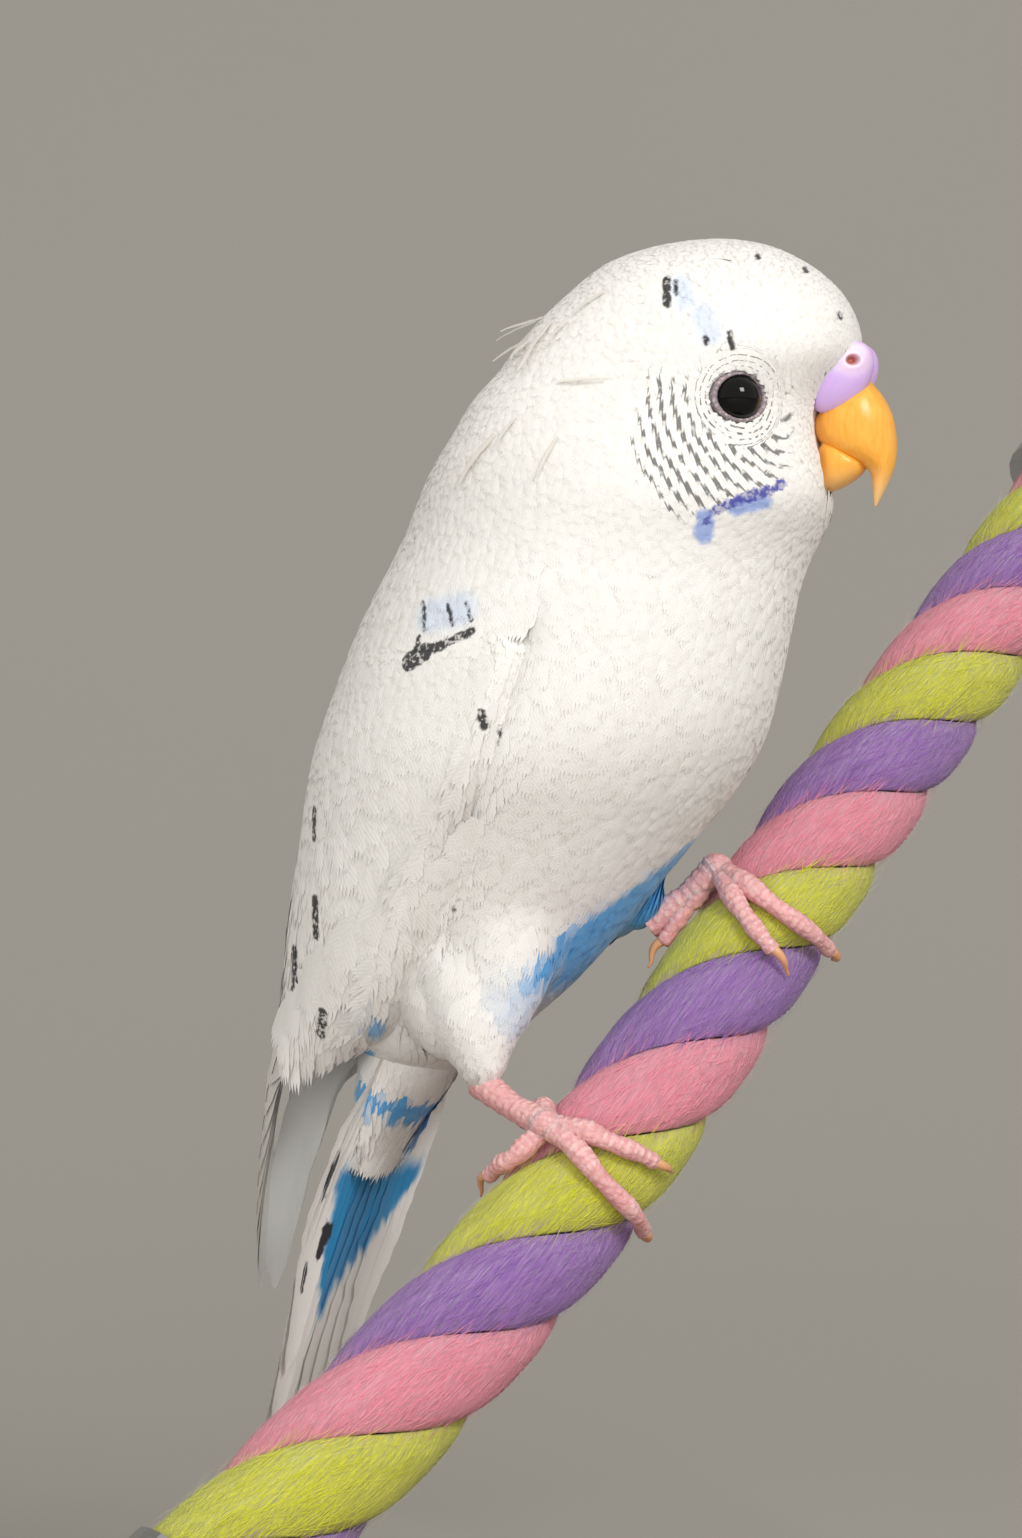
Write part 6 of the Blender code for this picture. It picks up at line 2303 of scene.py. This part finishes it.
class Leg:
    """Scaly feet: the bare shank, four toes two before and two behind, and the claws."""

    TARSUS = 1.4
    PAD = (1.9, 1.9, 1.7)
    TOE = (1.35, 0.85)
    CLAW = (0.62, 0.1)
    TOE_LIFT = 0.75
    SHANK_SCALE = 1.1
    TOE_SCALE = 0.85
    PALMS = {"right": (63.4, -55.0), "left": (101.6, -67.0)}
    TOES = {
        "right": {
            "outer_front": ((62.4, -25.0), (61.3, 3.0), (61.4, 42.0), (62.0, 78.0)),
            "inner_front": ((64.6, -30.0), (65.3, -7.0), (66.4, 14.0), (67.2, 31.0)),
            "outer_hind": ((60.6, -60.0), (58.4, -66.0), (57.2, -80.0), (56.2, -96.0)),
            "inner_hind": ((65.4, -70.0), (66.2, -84.0), (66.8, -98.0), (67.4, -112.0)),
        },
        "left": {
            "outer_front": ((100.4, -38.0), (99.4, -8.0), (100.0, 30.0), (101.4, 64.0)),
            "inner_front": ((98.8, -44.0), (96.6, -22.0), (95.4, -4.0), (94.9, 12.0)),
            "outer_hind": ((98.9, -76.0), (96.4, -84.0), (94.2, -90.0), (92.0, -96.0)),
            "inner_hind": ((103.0, -82.0), (104.4, -98.0), (105.2, -112.0), (106.0, -126.0)),
        },
    }

    def __init__(self, finishes: Finishes) -> None:
        """Keep the finishes."""
        self.finishes = finishes

    def on_rope(self, s: float, degrees: float, radius: float) -> Vector:
        """Middle of a toe of a given radius that lies on the rope."""
        return ROPE.point(s, degrees, ROPE.radius(s) + self.TOE_LIFT * radius)

    def scaled_tube(self, points: Sequence[Vector], radii: Sequence[float], outward: Sequence[Vector],
                    pitch: float) -> Tuple[BMesh, List[float]]:
        """Tube with a row of overlapping scutes along its upper side.

        Args:
            points: Points of the middle line.
            radii: Radius at each point.
            outward: Direction of the upper side at each point.
            pitch: Length of one scute.

        Returns:
            The bmesh, and the height of the scutes at each vertex.
        """
        rings = []
        heights = []
        walked = 0.0
        for i, point in enumerate(points):
            if i:
                walked += (point - points[i - 1]).length
            tangent = tangent_at(points, i)
            up = squared(outward[i], tangent)
            side = tangent.cross(up)
            phase = (walked / pitch) % 1.0
            ring = []
            for a in around(20):
                top = smoothstep(-0.1, 0.6, math.cos(a))
                scute = (1.0 - phase) ** 1.5 * top
                swell = 0.05 * math.sin(2.0 * math.pi * walked / (1.7 * pitch))
                pad = swell * smoothstep(0.1, 0.9, -math.cos(a))
                reach = radii[i] * (1.0 + 0.13 * scute + pad)
                ring.append(point + (up * math.cos(a) + side * math.sin(a)) * reach)
                heights.append(scute)
            rings.append(ring)
        bm = loft(rings)
        heights += [0.0] * (len(bm.verts) - len(heights))
        return bm, heights

    def smooth(self, marks: Sequence[Vector], per_span: int) -> List[Vector]:
        """Dense smooth path through points."""
        rows = [tuple(p) for p in marks]
        count = per_span * (len(rows) - 1)
        return [Vector(spline(rows, i / per_span)) for i in range(count + 1)]

    def foot(self, name: str, heel: Vector) -> None:
        """Make one foot with its claws.

        Args:
            name: The foot's side.
            heel: Place where its shank leaves the feathers.
        """
        palm = self.PALMS[name]
        centre = self.on_rope(palm[0], palm[1], 1.9)
        along = (centre - heel).normalized()
        middle = heel.lerp(centre, 0.5) + Vector((0.0, 0.0, -0.4))
        path = self.smooth([heel - along * 1.2, middle, centre], 16)
        radii = [self.TARSUS * (1.0 + 0.25 * abs(2.0 * i / (len(path) - 1) - 1.0)) for i in range(len(path))]
        upward = [Vector((0.1, -0.6, 0.8))] * len(path)
        pieces = [self.scaled_tube(path, radii, upward, self.SHANK_SCALE)]
        pad = ball(24, 16, lambda co: centre + co * Vector(self.PAD))
        pieces.append((pad, [0.3] * len(pad.verts)))
        claws = bmesh.new()
        for places in self.TOES[name].values():
            marks = [palm, *places]
            points = self.smooth([self.on_rope(s, a, mix(self.TOE[0], self.TOE[1], i / 4))
                                  for i, (s, a) in enumerate(marks)], 14)
            radii = []
            outward = []
            for i, point in enumerate(points):
                t = i / (len(points) - 1)
                swell = 1.0 + 0.09 * math.cos(6.0 * math.pi * t)
                end = math.sqrt(max(0.0, 1.0 - max(0.0, (t - 0.94) / 0.06) ** 2 * 0.6))
                radii.append(mix(self.TOE[0], self.TOE[1], t) * swell * end)
                s = mix(marks[0][0], marks[-1][0], t)
                outward.append((point - ROPE.axis(s)[0]).normalized())
            pieces.append(self.scaled_tube(points, radii, outward, self.TOE_SCALE))
            self.claw(claws, places)
        self.publish_foot(name, pieces)
        publish(from_bmesh("claws_" + name, claws, self.finishes.claw), "claw_horn",
                *["claw_%s_%s" % (name, toe) for toe in self.TOES[name]])

    def claw(self, claws: BMesh, places: Sequence[Tuple[float, float]]) -> None:
        """Add a curved claw past the end of a toe.

        Args:
            claws: Where it goes.
            places: Distances along the rope and angles round it of the toe's points.
        """
        (s0, a0), (s1, a1) = places[-2:]
        step = math.hypot(s1 - s0, math.radians(a1 - a0) * ROPE.radius(s1))
        ds = (s1 - s0) / step
        da = (a1 - a0) / step
        points = []
        radii = []
        for i in range(17):
            t = i / 16
            lift = ROPE.radius(s1) + 0.8 + 0.5 * math.sin(math.pi * min(1.0, 1.3 * t)) - 0.2 * t
            points.append(ROPE.point(s1 + ds * (3.7 * t - 0.5), a1 + da * (3.7 * t - 0.5), lift))
            radii.append(mix(self.CLAW[0], self.CLAW[1], t ** 1.3))
        absorb(claws, tube(points, radii, 14))

    def publish_foot(self, name: str, pieces: Sequence[Tuple[BMesh, List[float]]]) -> None:
        """Join the parts of a foot into one object with its scute heights."""
        whole = bmesh.new()
        heights: List[float] = []
        for part, values in pieces:
            absorb(whole, part)
            heights += values
        thing = from_bmesh("foot_skin_" + name, whole, self.finishes.foot)
        number_attribute(thing, "scute", np.array(heights))
        publish(thing, "skin_pink", "foot_" + name)

    def build(self) -> None:
        """Make both feet."""
        self.foot("right", POSE.bird_point(*BODY.thigh_right[-1][:3]))
        self.foot("left", POSE.bird_point(*BODY.thigh_left[-1][:3]))


class Stand:
    """Turned wooden base with steel rods and discs."""

    RADIUS = 79.0
    THICKNESS = 7.0
    EDGE = 1.5
    TURN_STEPS = 160
    SHARP_ANGLE = 40.0

    def __init__(self, finishes: Finishes) -> None:
        """Keep the finishes."""
        self.finishes = finishes

    def build(self) -> None:
        """Make the base, and finish the steel nodes as they are."""
        profile = [Vector((0.0, 0.0, 0.0)), Vector((self.RADIUS, 0.0, 0.0)),
                   Vector((self.RADIUS, 0.0, self.THICKNESS - self.EDGE))]
        for k in range(1, 7):
            a = 0.5 * math.pi * k / 6
            profile.append(Vector((self.RADIUS - self.EDGE + self.EDGE * math.cos(a), 0.0,
                                   self.THICKNESS - self.EDGE + self.EDGE * math.sin(a))))
        profile.append(Vector((0.0, 0.0, self.THICKNESS)))
        bm, verts, edges = chain(profile)
        bmesh.ops.spin(bm, geom=verts + edges, cent=(0, 0, 0), axis=(0, 0, 1), angle=2.0 * math.pi,
                       steps=self.TURN_STEPS, use_merge=True, use_duplicate=False)
        bmesh.ops.remove_doubles(bm, verts=bm.verts, dist=1e-4)
        bmesh.ops.recalc_face_normals(bm, faces=bm.faces)
        thing = from_bmesh("stand_turned_base", bm, self.finishes.wood)
        thing.data.set_sharp_from_angle(angle=math.radians(self.SHARP_ANGLE))
        publish(thing, "stand_wood", "stand_base")
        for name in ("stand_rod_low", "stand_rod_high", "stand_cap_low", "stand_cap_high"):
            for item in FRAME["nodes"][name].material_slots:
                item.material = self.finishes.steel


@dataclass(frozen=True)
class Lamp:
    """A square soft lamp, in metres and watts."""

    name: str
    place: Row
    size: float
    power: float
    colour: Row


class Studio:
    """Pale sweep, soft lamps and the camera of the photograph."""

    KEY = Lamp("key", (0.5, -0.95, 0.8), 0.36, 7.7, (1.0, 0.99, 0.975))
    FILL = Lamp("fill", (-0.2, -0.95, 0.2), 0.7, 4.4, (0.98, 0.99, 1.0))
    TARGET = (0.0, 0.0, 0.125)
    AIR_STRENGTH = 0.72
    DISTANCE = 500.0
    SCALE = 0.112
    FRAME_HEIGHT = 1538.0
    SENSOR = 36.0
    FLOOR_FRONT = 3000.0
    FLOOR_BACK = 250.0
    BEND = 900.0
    SWEEP_REACH = 4000.0

    def camera(self) -> None:
        """Level camera with the photograph's framing."""
        data = bpy.data.cameras.new("camera")
        data.sensor_width = self.SENSOR
        data.lens = self.SENSOR * self.DISTANCE / (self.SCALE * self.FRAME_HEIGHT)
        data.clip_start = 0.01
        thing = placed("camera", data)
        thing.location = Vector((POSE.rope.x, POSE.rope.y - self.DISTANCE, POSE.rope.z)) * MM
        thing.rotation_euler = (math.radians(90.0), 0.0, 0.0)
        bpy.context.scene.camera = thing

    def sweep(self) -> None:
        """Plain pale floor that curves up far behind."""
        line = [(-self.FLOOR_FRONT, 0.0), (self.FLOOR_BACK, 0.0)]
        for k in range(1, 13):
            a = 0.5 * math.pi * k / 12
            line.append((self.FLOOR_BACK + self.BEND * math.sin(a), self.BEND * (1.0 - math.cos(a))))
        line.append((self.FLOOR_BACK + self.BEND, self.SWEEP_REACH))
        bm, _, edges = chain([Vector((-self.SWEEP_REACH, y, z)) for y, z in line])
        made = bmesh.ops.extrude_edge_only(bm, edges=edges)
        moved = [v for v in made["geom"] if isinstance(v, bmesh.types.BMVert)]
        bmesh.ops.translate(bm, vec=(2.0 * self.SWEEP_REACH, 0.0, 0.0), verts=moved)
        nodes = Nodes("pale paper sweep", Roughness=0.9)
        grain = nodes.grain(3.0, 2.0)
        nodes.colour(nodes.blend(grain, Colour("ABA7A0"), Colour("AEAAA3")))
        thing = from_bmesh("studio_floor", bm, nodes.material)

    def lamp(self, lamp: Lamp) -> Object:
        """Large soft lamp that faces the bird."""
        data = bpy.data.lights.new(lamp.name, "AREA")
        data.shape = "SQUARE"
        data.size = lamp.size
        data.energy = lamp.power
        data.color = lamp.colour
        thing = placed(lamp.name, data)
        thing.location = lamp.place
        thing.rotation_euler = (Vector(self.TARGET) - Vector(lamp.place)).to_track_quat("-Z", "Y").to_euler()
        return thing

    def build(self) -> None:
        """Set the stage."""
        self.camera()
        self.sweep()
        self.lamp(self.KEY)
        self.lamp(self.FILL).visible_glossy = False
        world = bpy.data.worlds.new("studio air")
        world.use_nodes = True
        back = world.node_tree.nodes["Background"]
        back.inputs[0].default_value = Colour("F2F0EC").linear()
        back.inputs[1].default_value = self.AIR_STRENGTH
        bpy.context.scene.world = world
        bpy.context.scene.view_settings.view_transform = "Standard"


FRAME: Dict[str, object] = {}


def main() -> None:
    """Load the frame, dress it and set the stage."""
    logging.basicConfig(level=logging.INFO, format="%(name)s: %(message)s")
    FRAME.update(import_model())
    finishes = Finishes()
    Studio().build()
    plumage = Plumage(finishes)
    plumage.skin()
    plumage.arms()
    plumage.coat()
    plumage.arm_coverts()
    plumage.drapes()
    plumage.pins()
    WingFeathers(finishes).build()
    Tail(finishes).build()
    Head(finishes).build()
    RopePieces(finishes).build()
    Leg(finishes).build()
    Stand(finishes).build()


if __name__ == "__main__":
    main()
